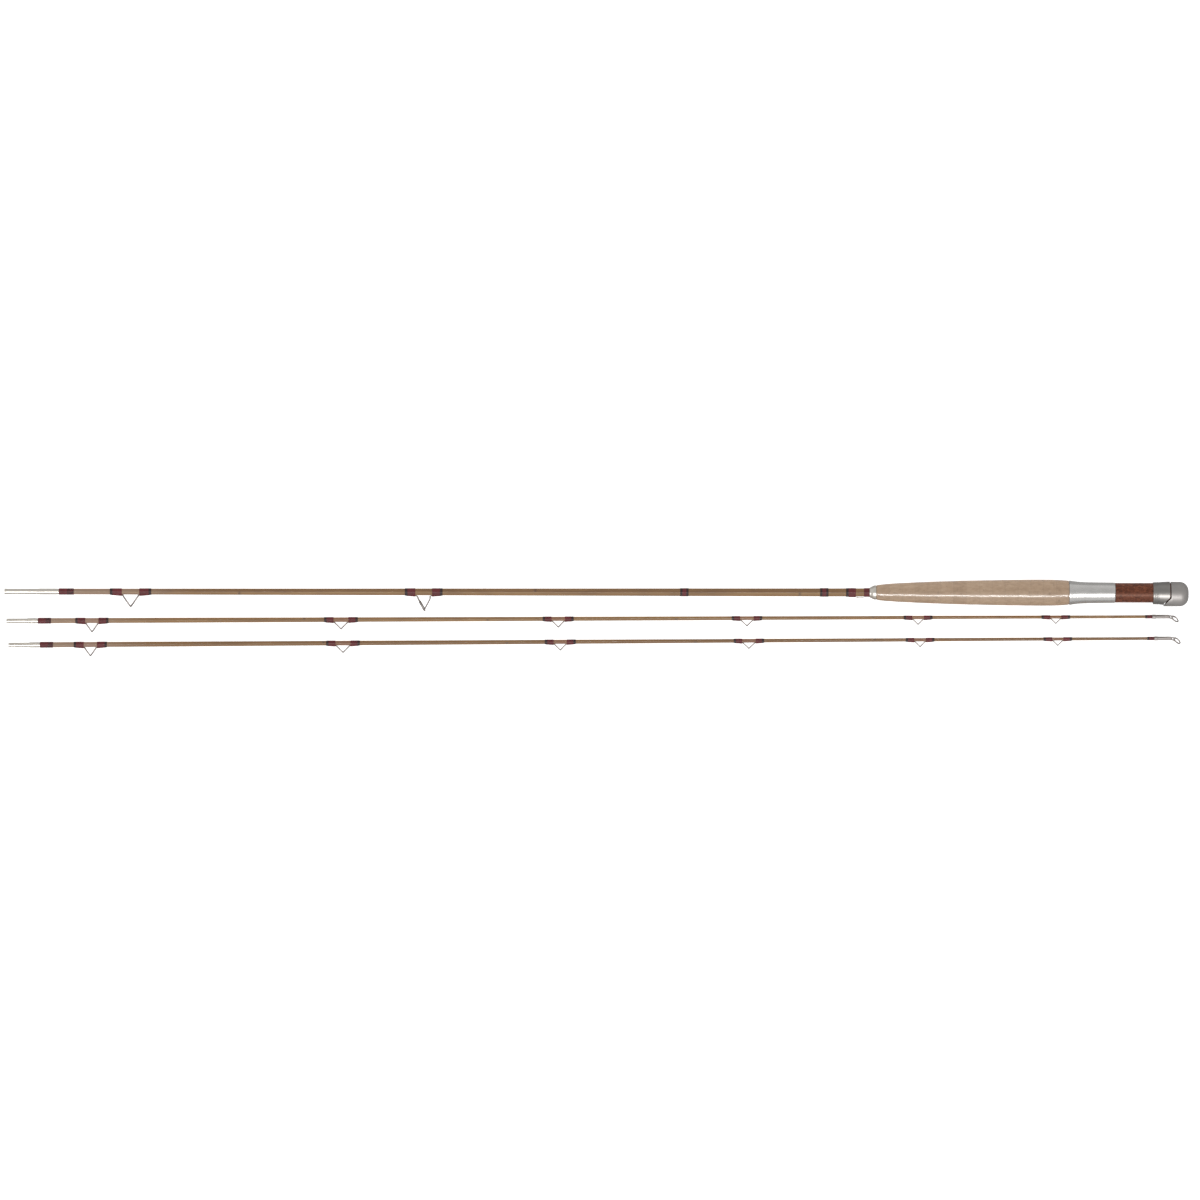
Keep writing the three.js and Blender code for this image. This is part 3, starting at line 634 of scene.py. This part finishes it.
class Guide:
    """A wire guide with two feet on the cane's -y flat, bound by two windings."""

    def __init__(self, cane, gap, wire, wraps):
        self.cane, self.gap, self.wire = cane, gap, wire
        low, high = cane.section.span(wraps)
        self.x, self.outer = (low + high) / 2, (high - low) / 2
        self.wraps = wraps
        self.flat = cane.half_flat(self.x) + 0.02
        self.inner = gap / 2 - 1
        self.foot_end = gap / 2 + 0.84 * (self.outer - gap / 2)

    def foot_top(self, reach):
        """Height of a foot's upper side over the flat, at a distance from the guide's middle."""
        ends = (self.inner, self.foot_end)
        return float(np.interp(reach, ends, (1.45 * self.wire, 0.45 * self.wire)))

    def foot(self, x):
        reach = abs(x - self.x)
        if not self.inner <= reach <= self.foot_end + 0.6:
            return None
        return 0, self.foot_top(reach) * min(1, (self.foot_end + 0.6 - reach) / 0.6), self.wire * 0.95

    def foot_stations(self, side, inner=None):
        """Centres and half heights along one foot, from its thin end inwards."""
        points, heights = [], []
        for reach in np.linspace(self.foot_end, inner or self.inner, 9):
            top = self.foot_top(reach)
            if reach == self.foot_end:
                top *= 0.5
            points.append((self.x + side * reach, -(self.flat + top / 2), 0))
            heights.append(top / 2)
        return points, heights

    def windings(self, name, tipping):
        """Both windings, with dark thread at their outer ends."""
        x, gap, outer = self.x, self.gap / 2, self.outer
        sides = (
            self.cane.thread(x - outer, x - gap, self.foot, dark=(tipping, 0)),
            self.cane.thread(x + gap, x + outer, self.foot, dark=(0, tipping)),
        )
        piece(name, self.cane.section, sides, "silk", self.wraps, sharp=75)


def snake(guide, name, node):
    """A snake guide: one wire, ground flat at both feet, that rises, crosses over and comes down."""
    section = guide.cane.section
    across = section.points(node)
    rise = -across[:, 1].min() - guide.flat - guide.wire - 0.02
    width = (across[:, 2].max() - across[:, 2].min()) / 2 - guide.wire * 0.95
    reach = guide.gap / 2 - 0.5
    first, thin = guide.foot_stations(-1, reach + 0.2)
    last, _ = guide.foot_stations(1, reach + 0.2)
    points, thick = [*first], [*thin]
    for angle in np.linspace(0, 2 * pi, 41)[2:-2]:
        along = reach * (1 + cos(angle)) / 2 * (-1 if angle < pi else 1)
        height = max(rise * (1 - cos(angle)) / 2, thin[-1])
        points.append((guide.x + along, -guide.flat - height, width * sin(angle)))
        thick.append(min(height, guide.wire))
    path = smooth_path([*points, *last[::-1]], 2)
    thick += thin[::-1]
    heights = np.interp(np.arange(len(path)) / 2, np.arange(len(thick)), thick)
    wide = np.where(heights < guide.wire * 0.72, guide.wire * 1.02, guide.wire * 0.98)
    piece(name, section, [sweep(path, wide, heights)], "steel", node, sharp=60)


def stripping_guide(guide, section):
    """The stripping guide: a hard ring in a wire rim, a stem from one foot and two braces from the other."""
    ring = section.points("stripping_guide_ring")
    centre = (ring.min(0) + ring.max(0)) / 2
    _, _, axes = np.linalg.svd(ring - ring.mean(0), full_matrices=False)
    axle = axes[2] * np.sign(axes[2][0])
    lean = np.cross((0, 0, 1), axle)
    lean *= -np.sign(lean[1])
    lean /= np.linalg.norm(lean)
    outer = np.hypot((ring - centre) @ lean, (ring - centre) @ (0, 0, 1)).max()
    rim_wire = 0.55
    rim = outer + 0.12 + rim_wire
    side = np.array([0.0, 0.0, 1.0])

    def rim_point(angle, way):
        return centre + lean * rim * cos(angle) + side * way * rim * sin(angle)

    def leg(foot_side, bends, top, wire, drift=0.0):
        points, thin = guide.foot_stations(foot_side)
        points = [(x, y, z + drift * i / len(points)) for i, (x, y, z) in enumerate(points)]
        path = smooth_path([*points, *bends, *top], 4)
        heights = np.array([*thin, *[wire] * (len(bends) + len(top))])
        heights = np.interp(np.arange(len(path)) / 4, np.arange(len(heights)), heights)
        return sweep(path, wire, np.minimum(heights, wire))

    x, flat, wire = guide.x, guide.flat, guide.wire
    base = rim_point(pi, 0)
    heel = (x - guide.gap / 2 + 2.2, -(flat + 1.5), 0)
    legs = [leg(-1, [heel], [base - lean * 1.6, base + lean * 0.1], wire)]
    for way in (-1, 1):
        elbow = (x + 6.1, -(flat + 3.6), way * 1.1)
        knee = (x + guide.gap / 2 - 2.2, -(flat + 1.5), way * 0.45)
        tops = [rim_point(pi / 4.4, way), rim_point(pi / 5, way)]
        legs.append(leg(1, [knee, elbow], tops, wire * 0.8, way * 0.3))
    fillet = np.array([0.5, 1.05, 0.6]) * wire * 1.25
    braze = [
        sweep(np.array([at - lean * 0.9, at - lean * 0.2, at + lean * 0.3]), fillet, fillet, up=axle)
        for at in (base, rim_point(pi / 5, -1), rim_point(pi / 5, 1))
    ]
    wires = [hoop(centre, lean, side, rim, rim_wire, 72), *legs, *braze]
    piece("stripping_guide_wire", section, wires, "steel", "stripping_guide_frame", sharp=60)
    half = abs((ring - centre) @ axle).max()
    rear = [(0.62, 0), (1, 0.55), (0.8, 1.5), (0.05, 1.95)]
    profile = [(half * x, outer - depth) for x, depth in [*((-x, d) for x, d in rear[::-1]), *rear]]
    profile = rounded(profile, 0.5, closed=True, steps=4)
    outward = facing(circle(72)) @ [lean, side]
    rings = [centre + along * axle + radius * outward for along, radius in profile]
    skin = loft(rings, closed=True)
    piece("stripping_guide_hard_ring", section, [skin], "hard", "stripping_guide_ring", sharp=60)


def tip_top(section):
    """The tip-top: a socket tube with two arms that carry a wire loop, brazed where they meet."""
    points = section.points("tip_top")
    start, tube_end = points[:, 0].min(), section.span("cane")[1] + 3
    wire, radius = 0.7, 3.75
    centre = np.array([tube_end + 4.8, -2.6, 0])
    tilt, roll = radians(50), radians(-28)
    lean = np.array([-sin(tilt), cos(tilt), 0.0])
    twist = np.array([[1, 0, 0], [0, cos(roll), sin(roll)], [0, -sin(roll), cos(roll)]])
    side = np.array([0.0, 0.0, 1.0])
    profile = [
        (start, 1.25), (start, 2, 0.25), (start + 1, 1.95, 0.2), (start + 1.3, 2.0, 0.2),
        (start + 3.1, 2, 0.3), (start + 3.6, 1.76, 0.3), (tube_end - 0.9, 1.75, 0.9),
        (tube_end, 0.7, 0.5), (tube_end, 0.01, 0), (tube_end - 2, 0.01, 0), (tube_end - 2, 1.25, 0),
    ]
    tube = turned(rounded(profile, 0.15, closed=True), 40)
    loop = hoop(centre, lean, side, radius, wire, 64)
    arms, braze = [], []
    for way in (-1, 1):
        bends = [(-7.5, 0, 1.6), (-4, 0, 1.85), (-0.8, -0.15, 2.0), (2.3, -1.15, 2.75)]
        bends = [(tube_end + x, y, way * z) for x, y, z in bends]
        path = smooth_path([*bends, centre + side * way * (radius - 0.1)])
        thick = np.interp(np.arange(len(path)), (0, 5, len(path)), (0.12, 0.6, 0.66))
        arms.append(sweep(path, thick, thick, up=(0, 1, 0)))
        seam = [(-6.5, 0, 1.55), (-3.5, 0, 1.6), (-0.6, -0.1, 1.5)]
        seam = smooth_path([(tube_end + x, y, way * z) for x, y, z in seam])
        fill = np.interp(np.arange(len(seam)), (0, 6, len(seam)), (0.2, 0.62, 0.3))
        braze.append(sweep(seam, 0.55 * fill / fill.max(), fill, up=(0, 1, 0)))
    fork = [(part[0] @ twist, *part[1:]) for part in (loop, *arms, *braze)]
    piece(f"{section.prefix}tip_top_wire", section, [tube, *fork], "steel", "tip_top", sharp=60)


# ---- grip and reel seat


def cork_grip(section):
    """Half-inch rings of cork glued in a stack and shaped, with fine joints and open pores."""
    rng = np.random.default_rng(11)
    profile = outline(section.points("cork_grip"))
    xs, radii = (np.array(v) for v in zip(*profile))
    x0, x1 = xs[0], xs[-1]
    ring_length = (x1 - x0) / CORK_RINGS
    along = np.linspace(x0, x1, 316)
    turns = circle(132)
    base = np.interp(along, xs, radii)
    which = np.clip(((along - x0) / ring_length).astype(int), 0, CORK_RINGS - 1)
    phase = (along - x0) / ring_length - np.round((along - x0) / ring_length)
    joint = np.exp(-((phase * ring_length / 0.35) ** 2))
    joint[(along < x0 + 2) | (along > x1 - 2)] = 0
    grid = base[:, None] - 0.045 * joint[:, None] * np.ones(len(turns))
    wave = sum(
        rng.uniform(0.3, 1)
        * np.sin(along[:, None] * rng.uniform(0.06, 0.5) + turns * rng.integers(1, 7) + rng.uniform(0, 6))
        for _ in range(14)
    )
    grid += 0.016 * wave - 0.03
    pits = np.zeros_like(grid)
    for _ in range(150):
        x, angle = rng.uniform(x0 + 2, x1 - 2), rng.uniform(0, 2 * pi)
        long, wide = rng.uniform(0.35, 1.3), rng.uniform(0.3, 0.8)
        if rng.random() < 0.5:
            long, wide = wide, long * 1.6
        turn = (turns - angle + pi) % (2 * pi) - pi
        pit = np.exp(-(((along - x) / long) ** 2))[:, None] * np.exp(-((turn[None] * 12 / wide) ** 2))
        pits = np.maximum(pits, pit * rng.uniform(0.3, 1))
    grid -= 0.12 * pits
    edge = np.minimum(along - x0, x1 - along)
    grid -= (0.35 * np.clip(1 - edge / 0.8, 0, 1) ** 2)[:, None]
    rings = [around(x, radius, turns) for x, radius in zip(along, grid)]
    inner = [around(x, np.full(len(turns), SEAT_BORE), turns) for x in (x1, x0)]
    pad = np.zeros((2, len(turns)))
    tones = rng.uniform(-1, 1, CORK_RINGS)[which]
    skin = loft([*rings, *inner], closed=True, ring=[*tones, 0, 0], joint=[*joint, 0, 0],
                pit=np.concatenate([pits, pad]))
    piece("grip_cork_rings", section, [skin], "cork", "cork_grip", sharp=70)


def cap_mouth(section):
    """Where the cap's mouth stands on the side away from the guides."""
    points = section.points("butt_cap")
    return points[points[:, 1] > 0, 0].min()


def slanted(rings, root, most, share=1.0):
    """Rings whose guides' side is drawn forward, at most so far, along the slant of the cap's mouth."""
    forward = np.clip((-root - rings[..., 1]) * SLANT_REACH / SLANT_RISE, 0, most)
    return np.concatenate([(rings[..., 0] - forward * share)[..., None], rings[..., 1:]], -1)


def seat_sleeve(section):
    """The spun sleeve: a rolled lip and a flare against the grip, a fine edge at the spacer."""
    shell = outline(section.points("seat_sleeve"))
    x0, x1 = shell[0][0], shell[-1][0]
    flare = [(x, r, 3.0) for x, r in shell if x0 + 1 < x < x1 - 2]
    lip = max(r for _, r in shell)
    bore = 9.0
    profile = [
        (x0, bore, 0), (x0, lip - 0.2, 0.3), (x0 + 1.1, lip, 0.5), *flare,
        (x1 - 0.9, 9.98, 0.4), (x1, 9.75, 0.3), (x1, bore, 0),
    ]
    skin = turned(rounded(profile, 0.3, closed=True, steps=6), 128)
    piece("seat_sleeve_spun", section, [skin], "spun", "seat_sleeve")


def seat_spacer(section):
    """The burl spacer, proud between the sleeve and the cap, with a flat for the reel's foot."""
    start, end = section.span("wood_spacer")
    flat = -section.points("wood_spacer")[:, 1].min()
    shoulder = outline(section.points("seat_sleeve"))[-1][0] + 0.12
    cap_x = cap_mouth(section)
    profile = rounded(
        [(start, SEAT_BORE, 0), (start, SPIGOT), (shoulder, SPIGOT, 0), (shoulder, 9.55, 0.25),
         (cap_x - 0.5, 9.6, 0.1), (cap_x - 0.4, SPIGOT, 0), (end, SPIGOT), (end, SEAT_BORE, 0)],
        0.3, closed=True,
    )
    rows = []
    for (xa, ra), (xb, rb) in zip(profile, [*profile[1:], profile[0]]):
        steps = max(1, int(abs(xb - xa) / 2.5))
        rows += [(xa + (xb - xa) * t / steps, ra + (rb - ra) * t / steps) for t in range(steps)]
    down = -np.cos(ROUND)
    rings = []
    for x, radius in rows:
        reach = np.full(len(ROUND), radius)
        if x > shoulder + 0.4:
            reach = np.where(down > 0.1, np.minimum(reach, flat / np.maximum(down, 0.1)), reach)
        rings.append(around(x, reach, ROUND))
    skin = loft(rings, closed=True)
    piece("seat_spacer_burl", section, [skin], "burl", "wood_spacer", sharp=25)


def seat_band(section):
    """The sliding band: three low beads, then a flare whose rim is cut back along the cap's mouth."""
    points = section.points("slide_band")
    front, rear = points[:, 0].min(), points[:, 0].max()
    rim = points[points[:, 0] < front + 1, 1]
    sag = (rim.min() + rim.max()) / 2
    wall = outline(points, sag)
    outside, mouth = wall[0][1], wall[-1][1]
    crest = max(r for x, r in wall if x < front + 4)
    profile = [(front, outside - 0.45, 0.1), (front, outside, 0.2)]
    for k in range(3):
        x = front + 0.5 + 1.75 * k
        low, high = outside + 0.05 + 0.05 * k, crest + 0.03 * k
        profile += [(x, low, 0.2), (x + 0.35, high, 0.35), (x + 1.05, high, 0.35), (x + 1.4, low, 0.2)]
    profile += [
        (front + 6.4, outside + 0.36, 0.5), (rear - 0.5, mouth - 0.02, 0.2), (rear, mouth - 0.1, 0.15),
        (rear, mouth - 0.5, 0.1), (front + 5, outside - 0.25, 1.0),
    ]
    skin = turned(rounded(profile, 0.2, closed=True, steps=4), 128, centre=sag)
    limit = slanted(skin[0] * (0, 1, 1) + (rear, 0, 0), SLANT_ROOT - 0.7, 5.9)[:, 0]
    skin[0][:, 0] = np.minimum(skin[0][:, 0], limit)
    piece("seat_band_beaded", section, [skin], "band", "slide_band", "slide_band", sharp=50)


def seat_cap(section):
    """The butt cap: a domed cup, with a pocket for the reel's foot beside its bore."""
    points = section.points("butt_cap")
    low, high = points[:, 1].min(), points[:, 1].max()
    offset, radius = (low + high) / 2, (high - low) / 2
    cap_x, end = cap_mouth(section), points[:, 0].max()
    corner = 8.6
    dome = [
        (end + corner * (sin(a) - 1), radius - corner + corner * cos(a))
        for a in np.linspace(0, pi / 2, 17)
    ]
    outer = [(cap_x, radius - 0.3), (cap_x + 0.15, radius - 0.08), (cap_x + 0.4, radius),
             (cap_x + 2, radius), *dome, (end, 0.005)]
    centre = (0, offset, 0)
    rings = [around(x, np.full(len(ROUND), r), ROUND) + centre for x, r in outer[::-1]]

    def opening(circles, grow):
        """How far one or two overlapping circles reach round the cap's own axis."""
        reach = np.zeros(len(ROUND))
        for middle, size in circles:
            shift = middle - offset
            gap = shift * np.cos(ROUND)
            reach = np.maximum(reach, gap + np.sqrt((size + grow) ** 2 - shift**2 + gap**2))
        return reach

    bore = [(0, 9.0)]
    both = [*bore, (-2.1, 9.6)]
    pocket_end, bore_end = cap_x + 10, end - 6
    inside = [(cap_x, both, 0.25), (cap_x + 0.2, both, 0.04), (cap_x + 0.5, both, 0),
              (pocket_end - 0.2, both, 0), (pocket_end, both, -0.2), (pocket_end, bore, 0),
              (bore_end, bore, 0)]
    rings += [around(x, opening(circles, grow), ROUND) + centre for x, circles, grow in inside]
    rings.append(around(bore_end, np.full(len(ROUND), 0.005), ROUND) + centre)
    rings = np.array(rings)
    near = np.clip((cap_x + 2 - rings[..., 0]) / 1.5, 0, 1)
    rings = slanted(rings, SLANT_ROOT, SLANT_REACH, near)
    piece("seat_butt_cap", section, [loft(rings)], "satin", "butt_cap", sharp=30)


# ---- the three sections


def ferrule(name, section, node, profile, body=None):
    tube = turned(rounded(profile, 0.12, closed=True), 56)
    piece(name, section, [tube], "nickel", node, body, sharp=35)


def keeper(section, cane):
    """Hook keeper: a strap folded into an eye, its tail under the thread, and a loose ring."""
    strap = section.points("keeper_strap")
    x_tail, x_eye = strap[:, 0].min(), strap[:, 0].max()
    half_wide = (strap[:, 2].max() - strap[:, 2].min()) / 2
    eye, bend, half_thick = 0.95, 0.78, 0.16
    low, top = -strap[:, 1].max(), -strap[:, 1].min()
    x, y = x_eye - eye, eye - top
    tail = -(low + half_thick + 0.01)
    path = [(x_tail, -(low + 0.12)), (x_tail + 2, tail), (x - 1.6, tail)]
    turns = np.radians(np.linspace(-100, 195, 20))
    path = np.array([*path, *((x + bend * sin(a), y + bend * cos(a)) for a in turns)])
    tangent = np.gradient(path, axis=0)
    tangent /= np.linalg.norm(tangent, axis=1)[:, None]
    corners = [(-1, -0.6), (-1, 0.6), (-0.94, 1), (0.94, 1), (1, 0.6), (1, -0.6), (0.94, -1), (-0.94, -1)]
    rings = []
    for i, ((x, y), (tx, ty)) in enumerate(zip(path, tangent)):
        wide = half_wide * (0.7 if i == 0 else 0.92 if i == 1 else 1)
        thick = 0.1 if i == 0 else half_thick
        rings.append([(x - ty * thick * b, y + tx * thick * b, wide * a) for a, b in corners])
    piece("keeper_strap_folded", section, [loft(rings)], "nickel", "keeper_strap", sharp=50)
    ring = section.points("keeper_ring")
    wire = 0.35
    radius = (ring[:, 0].max() - ring[:, 0].min()) / 2 - wire
    wire_ring = hoop((ring.min(0) + ring.max(0)) / 2, (1, 0, 0), (0, 0, 1), radius, wire, 56)
    piece("keeper_ring_wire", section, [wire_ring], "nickel", "keeper_ring", "keeper_ring", sharp=60)

    def under(x):
        return (0.02, top - 2 * eye - cane.half_flat(x) + 0.25, half_wide) if x > x_tail - 0.3 else None

    winding("keeper_winding_front", cane, "keeper_wrap_front", under=under, dark=(2.4, 0))
    winding("keeper_winding_rear", cane, "keeper_wrap_rear")


def female_ferrule(section):
    """The female ferrule: a welt at the mouth, a slim tube, and a wider part over the cane."""
    mouth, end = section.span("female_ferrule")
    shoulder = section.span("ferrule_plug")[0] - 0.1
    bore, seat = 2.4, 2.5
    profile = [
        (mouth, 2.55), (mouth, 2.8, 0.2), (mouth + 0.5, 2.85), (mouth + 0.8, 2.78), (mouth + 1.1, 2.85),
        (mouth + 2.3, 2.85), (mouth + 2.8, 2.66, 0.3), (shoulder - 0.1, 2.65, 0.2),
        (shoulder + 0.8, 2.9, 0.4), (end - 3, 2.9, 0.8), (end, 2.72, 0.15), (end, seat, 0),
        (shoulder, seat, 0), (shoulder, bore, 0), (mouth + 0.3, bore),
    ]
    ferrule("ferrule_female", section, "female_ferrule", profile)


def winding_check(section):
    """The turned collar between the cane and the cork."""
    check = [(x, r) for x, r in outline(section.points("winding_check")) if r > 4.8]
    x0, x1 = check[0][0], check[-1][0]
    bore = 4.0
    profile = [(x0, bore, 0), (x0, 4.85, 0.25), *((x, r, 0.8) for x, r in check[1:-1]), (x1, 7.0, 0.3),
               (x1, bore, 0)]
    skin = turned(rounded(profile, 0.2, closed=True, steps=5), 96)
    piece("winding_check_turned", section, [skin], "nickel", "winding_check", sharp=45)


def butt_section():
    section = Section("butt_section")
    start, end = section.span("butt_ferrule_wrap")[0], section.span("cork_grip")[0] - 0.5
    cane = Cane(section, "butt_cane", start, end)
    snake_guide = Guide(cane, GAPS["butt_snake"], WIRES["butt_snake"], "butt_snake_wraps")
    stripper = Guide(cane, GAPS["stripping_guide"], WIRES["stripping_guide"], "stripping_guide_wraps")
    nodes = [(-985, 0), (-930, 2), (-882, 4), (-640, 1), (-575, 3), (-528, 5), (-690, 0), (-420, 4),
             (-381, 2)]
    x0, x1 = section.span("butt_cane")
    stubs = [
        [(x0, 0.01, 0), (x0, 2.4), (start + 1, 2.4, 0)],
        [(end - 1, 3.8, 0), (x1, 3.8), (x1, 0.01, 0)],
    ]
    # the cane from the ferrule winding to the snake guide is painted paler, a painted highlight
    cane.build("cane_butt", "butt_cane", nodes, [], (start, snake_guide.x), stubs, seed=3)
    female_ferrule(section)
    plug = frame["nodes"]["ferrule_plug"].data
    plug.materials.clear()
    plug.materials.append(plug_finish())
    winding("winding_butt_ferrule", cane, "butt_ferrule_wrap", speckle=(0, 6.5))
    for place in ("front", "rear"):
        winding(f"winding_signature_{place}", cane, f"signature_wrap_{place}", dark=(2.2, 2.2))
    snake(snake_guide, "snake_guide_butt", "butt_snake_guide")
    snake_guide.windings("winding_butt_snake", 2.6)
    stripping_guide(stripper, section)
    stripper.windings("winding_stripping_guide", 2.6)
    keeper(section, cane)
    winding_check(section)
    cork_grip(section)
    seat_sleeve(section)
    seat_spacer(section)
    seat_band(section)
    seat_cap(section)


def male_ferrule(section):
    """The male ferrule: a closed slide, a groove, and a wider part over the cane."""
    end = section.span("male_ferrule")[1]
    bore = 2.0
    profile = [
        (0, 0.01, 0), (0, 2.1, 0.35), (0.5, 2.2), (19.6, 2.2, 0.1), (19.9, 2.14, 0.1), (20.4, 2.14, 0.1),
        (20.6, 2.5, 0.2), (end - 2.4, 2.55, 0.6), (end, 2.32, 0.15), (end, bore, 0), (8, bore, 0),
        (8, 0.01, 0),
    ]
    own_body = f"{section.body}_ferrule"
    body = own_body if own_body in frame["bodies"] else None
    ferrule(f"{section.prefix}ferrule_male", section, "male_ferrule", profile, body)


def tip_section(number):
    prefix = f"tip_{number}_"
    section = Section(f"tip_{number}", prefix, ("male_ferrule", "top_wrap"))
    start, end = section.span("ferrule_wrap")[0], section.span("top_wrap")[1]
    cane = Cane(section, "cane", start, end)
    guides = [
        Guide(cane, gap, wire, f"guide_wraps_{i}")
        for i, (gap, wire) in enumerate(zip(GAPS["tip"], WIRES["tip"]), 1)
    ]
    films = [(guide.x - guide.gap / 2, guide.x + guide.gap / 2) for guide in guides]
    shift = 17 * number
    nodes = [(170 + shift, 0), (225 + shift, 3), (275 + shift, 1), (590 - shift, 4), (640 + shift, 2),
             (680 - shift, 5), (965, 0), (790 + shift, 3), (850, 1), (410 + shift, 5), (455 + shift, 2)]
    x0, x1 = section.span("cane")
    stubs = [
        [(x0, 0.01, 0), (x0, 1.75), (start + 1, 1.75, 0)],
        [(end - 1, 1.1, 0), (x1, 1.1), (x1, 0.01, 0)],
    ]
    # the cane from the ferrule winding to the first guide is painted paler, a painted highlight
    haze = start, guides[0].x
    cane.build(f"{prefix}cane_strips", "tip_cane", nodes, films, haze, stubs, seed=20 + number)
    male_ferrule(section)
    winding(f"{prefix}winding_ferrule", cane, "ferrule_wrap", speckle=(0, 5.2))
    for i, guide in enumerate(guides, 1):
        snake(guide, f"{prefix}snake_wire_{i}", f"snake_guide_{i}")
        guide.windings(f"{prefix}winding_guide_{i}", 2.3)
    winding(f"{prefix}winding_top", cane, "top_wrap", dark=(1.8, 0))
    tip_top(section)


LOOKS = {  # each look's material slot in the CAD, and its finish here
    "butt_cane": ("cane", cane_finish("cane_butt", srgb(106, 70, 30), srgb(137, 98, 48), srgb(162, 123, 70))),
    "tip_cane": ("cane", cane_finish("cane_tips", srgb(116, 79, 34), srgb(145, 104, 54), srgb(170, 133, 80))),
    "silk": ("silk", silk_finish()),
    "cork": ("cork", cork_finish()),
    "burl": ("burl", burl_finish()),
    "spun": metal("spun_aluminium", srgb(222, 220, 217), 0.26, 0.6),
    "satin": metal("satin_aluminium", srgb(164, 160, 157), 0.5, 0.8, 0.16, metallic=0.75),
    "band": metal("band_aluminium", srgb(152, 149, 145), 0.38, 0.5, 0.1, slot="satin_aluminium"),
    "nickel": metal("nickel_silver", srgb(230, 224, 214), 0.28, 0.3),
    "steel": metal("guide_steel", srgb(162, 155, 151), 0.48, 0.1, 0.08, 4, metallic=0.75),
    "hard": metal("hard_ring", srgb(150, 146, 143), 0.24, 0.1, slot="guide_steel"),
}
butt_section()
tip_section(1)
tip_section(2)


# ---- floor, light and camera

FLOOR_SIZE, FLOOR_GAP = 14.0, 0.0004
FLOOR_GLOW = 0.7
FLOOR_IN_METAL = 0.42
SKY_LIGHT = 0.85
CAMERA_HEIGHT = 8.0
CAMERA_ROLL = 0.0012
CAMERA_SHIFT = (0.0035, -0.0077)  # from the rod's middle and from y = 0, to frame it as in the photo
VIEW_WIDTH = 1.176  # metres across the picture
SENSOR = 36.0


def stage():
    """The floor, a grid of squares a hair below the rod."""
    low, high = CAD_BOX
    line = np.linspace(-FLOOR_SIZE / 2, FLOOR_SIZE / 2, 9)
    row = len(line)
    points = [(x + (low[0] + high[0]) / 2, y, low[2] - FLOOR_GAP) for y in line for x in line]
    corners = [k for k in range(row * (row - 1)) if k % row < row - 1]
    mesh = bpy.data.meshes.new("floor")
    mesh.from_pydata(points, [], [(k, k + 1, k + row + 1, k + row) for k in corners])
    mesh.materials.append(floor_finish())
    add("floor", mesh)


def light(name, place, size, power):
    """A soft rectangular light that faces the rod's middle."""
    data = bpy.data.lights.new(name, "AREA")
    data.shape, data.size, data.size_y = "RECTANGLE", *size
    data.energy = power
    made = add(name, data)
    centre = (CAD_BOX[0] + CAD_BOX[1]) / 2
    made.location = centre + Vector(place)
    made.rotation_mode = "QUATERNION"
    made.rotation_quaternion = Vector(place).to_track_quat("Z", "Y")
    return made


def world():
    """Even surroundings: white to the camera, soft light on the rod, a grey gradient in its metal."""
    made = bpy.data.worlds.new("studio")
    made.use_nodes = True
    tree = made.node_tree
    base = tree.nodes["Background"]
    direction = link(tree, "ShaderNodeTexCoord").outputs["Generated"]
    height = link(tree, "ShaderNodeSeparateXYZ", {"Vector": direction}).outputs["Z"]
    values = {"Value": height, "To Min": 0.72, "To Max": 0.52}
    tone = link(tree, "ShaderNodeMapRange", values).outputs["Result"]
    ray = link(tree, "ShaderNodeLightPath").outputs
    for kind, value in (("Is Diffuse Ray", SKY_LIGHT), ("Is Camera Ray", 1.0)):
        values = {0: ray[kind], 2: tone, 3: value}
        tone = link(tree, "ShaderNodeMix", values, data_type="FLOAT").outputs[0]
    tree.links.new(tone, base.inputs["Strength"])
    base.inputs["Color"].default_value = (1, 1, 1, 1)
    made.cycles.sampling_method = "NONE"
    bpy.context.scene.world = made


def camera():
    data = bpy.data.cameras.new("camera")
    data.sensor_width = SENSOR
    data.lens = SENSOR * CAMERA_HEIGHT / VIEW_WIDTH
    data.clip_end = 50
    made = add("camera", data)
    middle = (CAD_BOX[0][0] + CAD_BOX[1][0]) / 2
    made.location = (middle + CAMERA_SHIFT[0], CAMERA_SHIFT[1], CAMERA_HEIGHT)
    made.rotation_euler = (0, 0, CAMERA_ROLL)
    bpy.context.scene.camera = made


stage()
world()
light("streak", (0, -1.3, 2.16), (3.0, 0.3), 42).visible_diffuse = False
light("softbox", (0, -1.3, 2.16), (3.0, 1.3), 16).visible_diffuse = False
light("fill", (0.3, -1.6, 1.2), (3.0, 1.2), 3).visible_glossy = False
camera()
bpy.context.scene.view_settings.view_transform = "Standard"
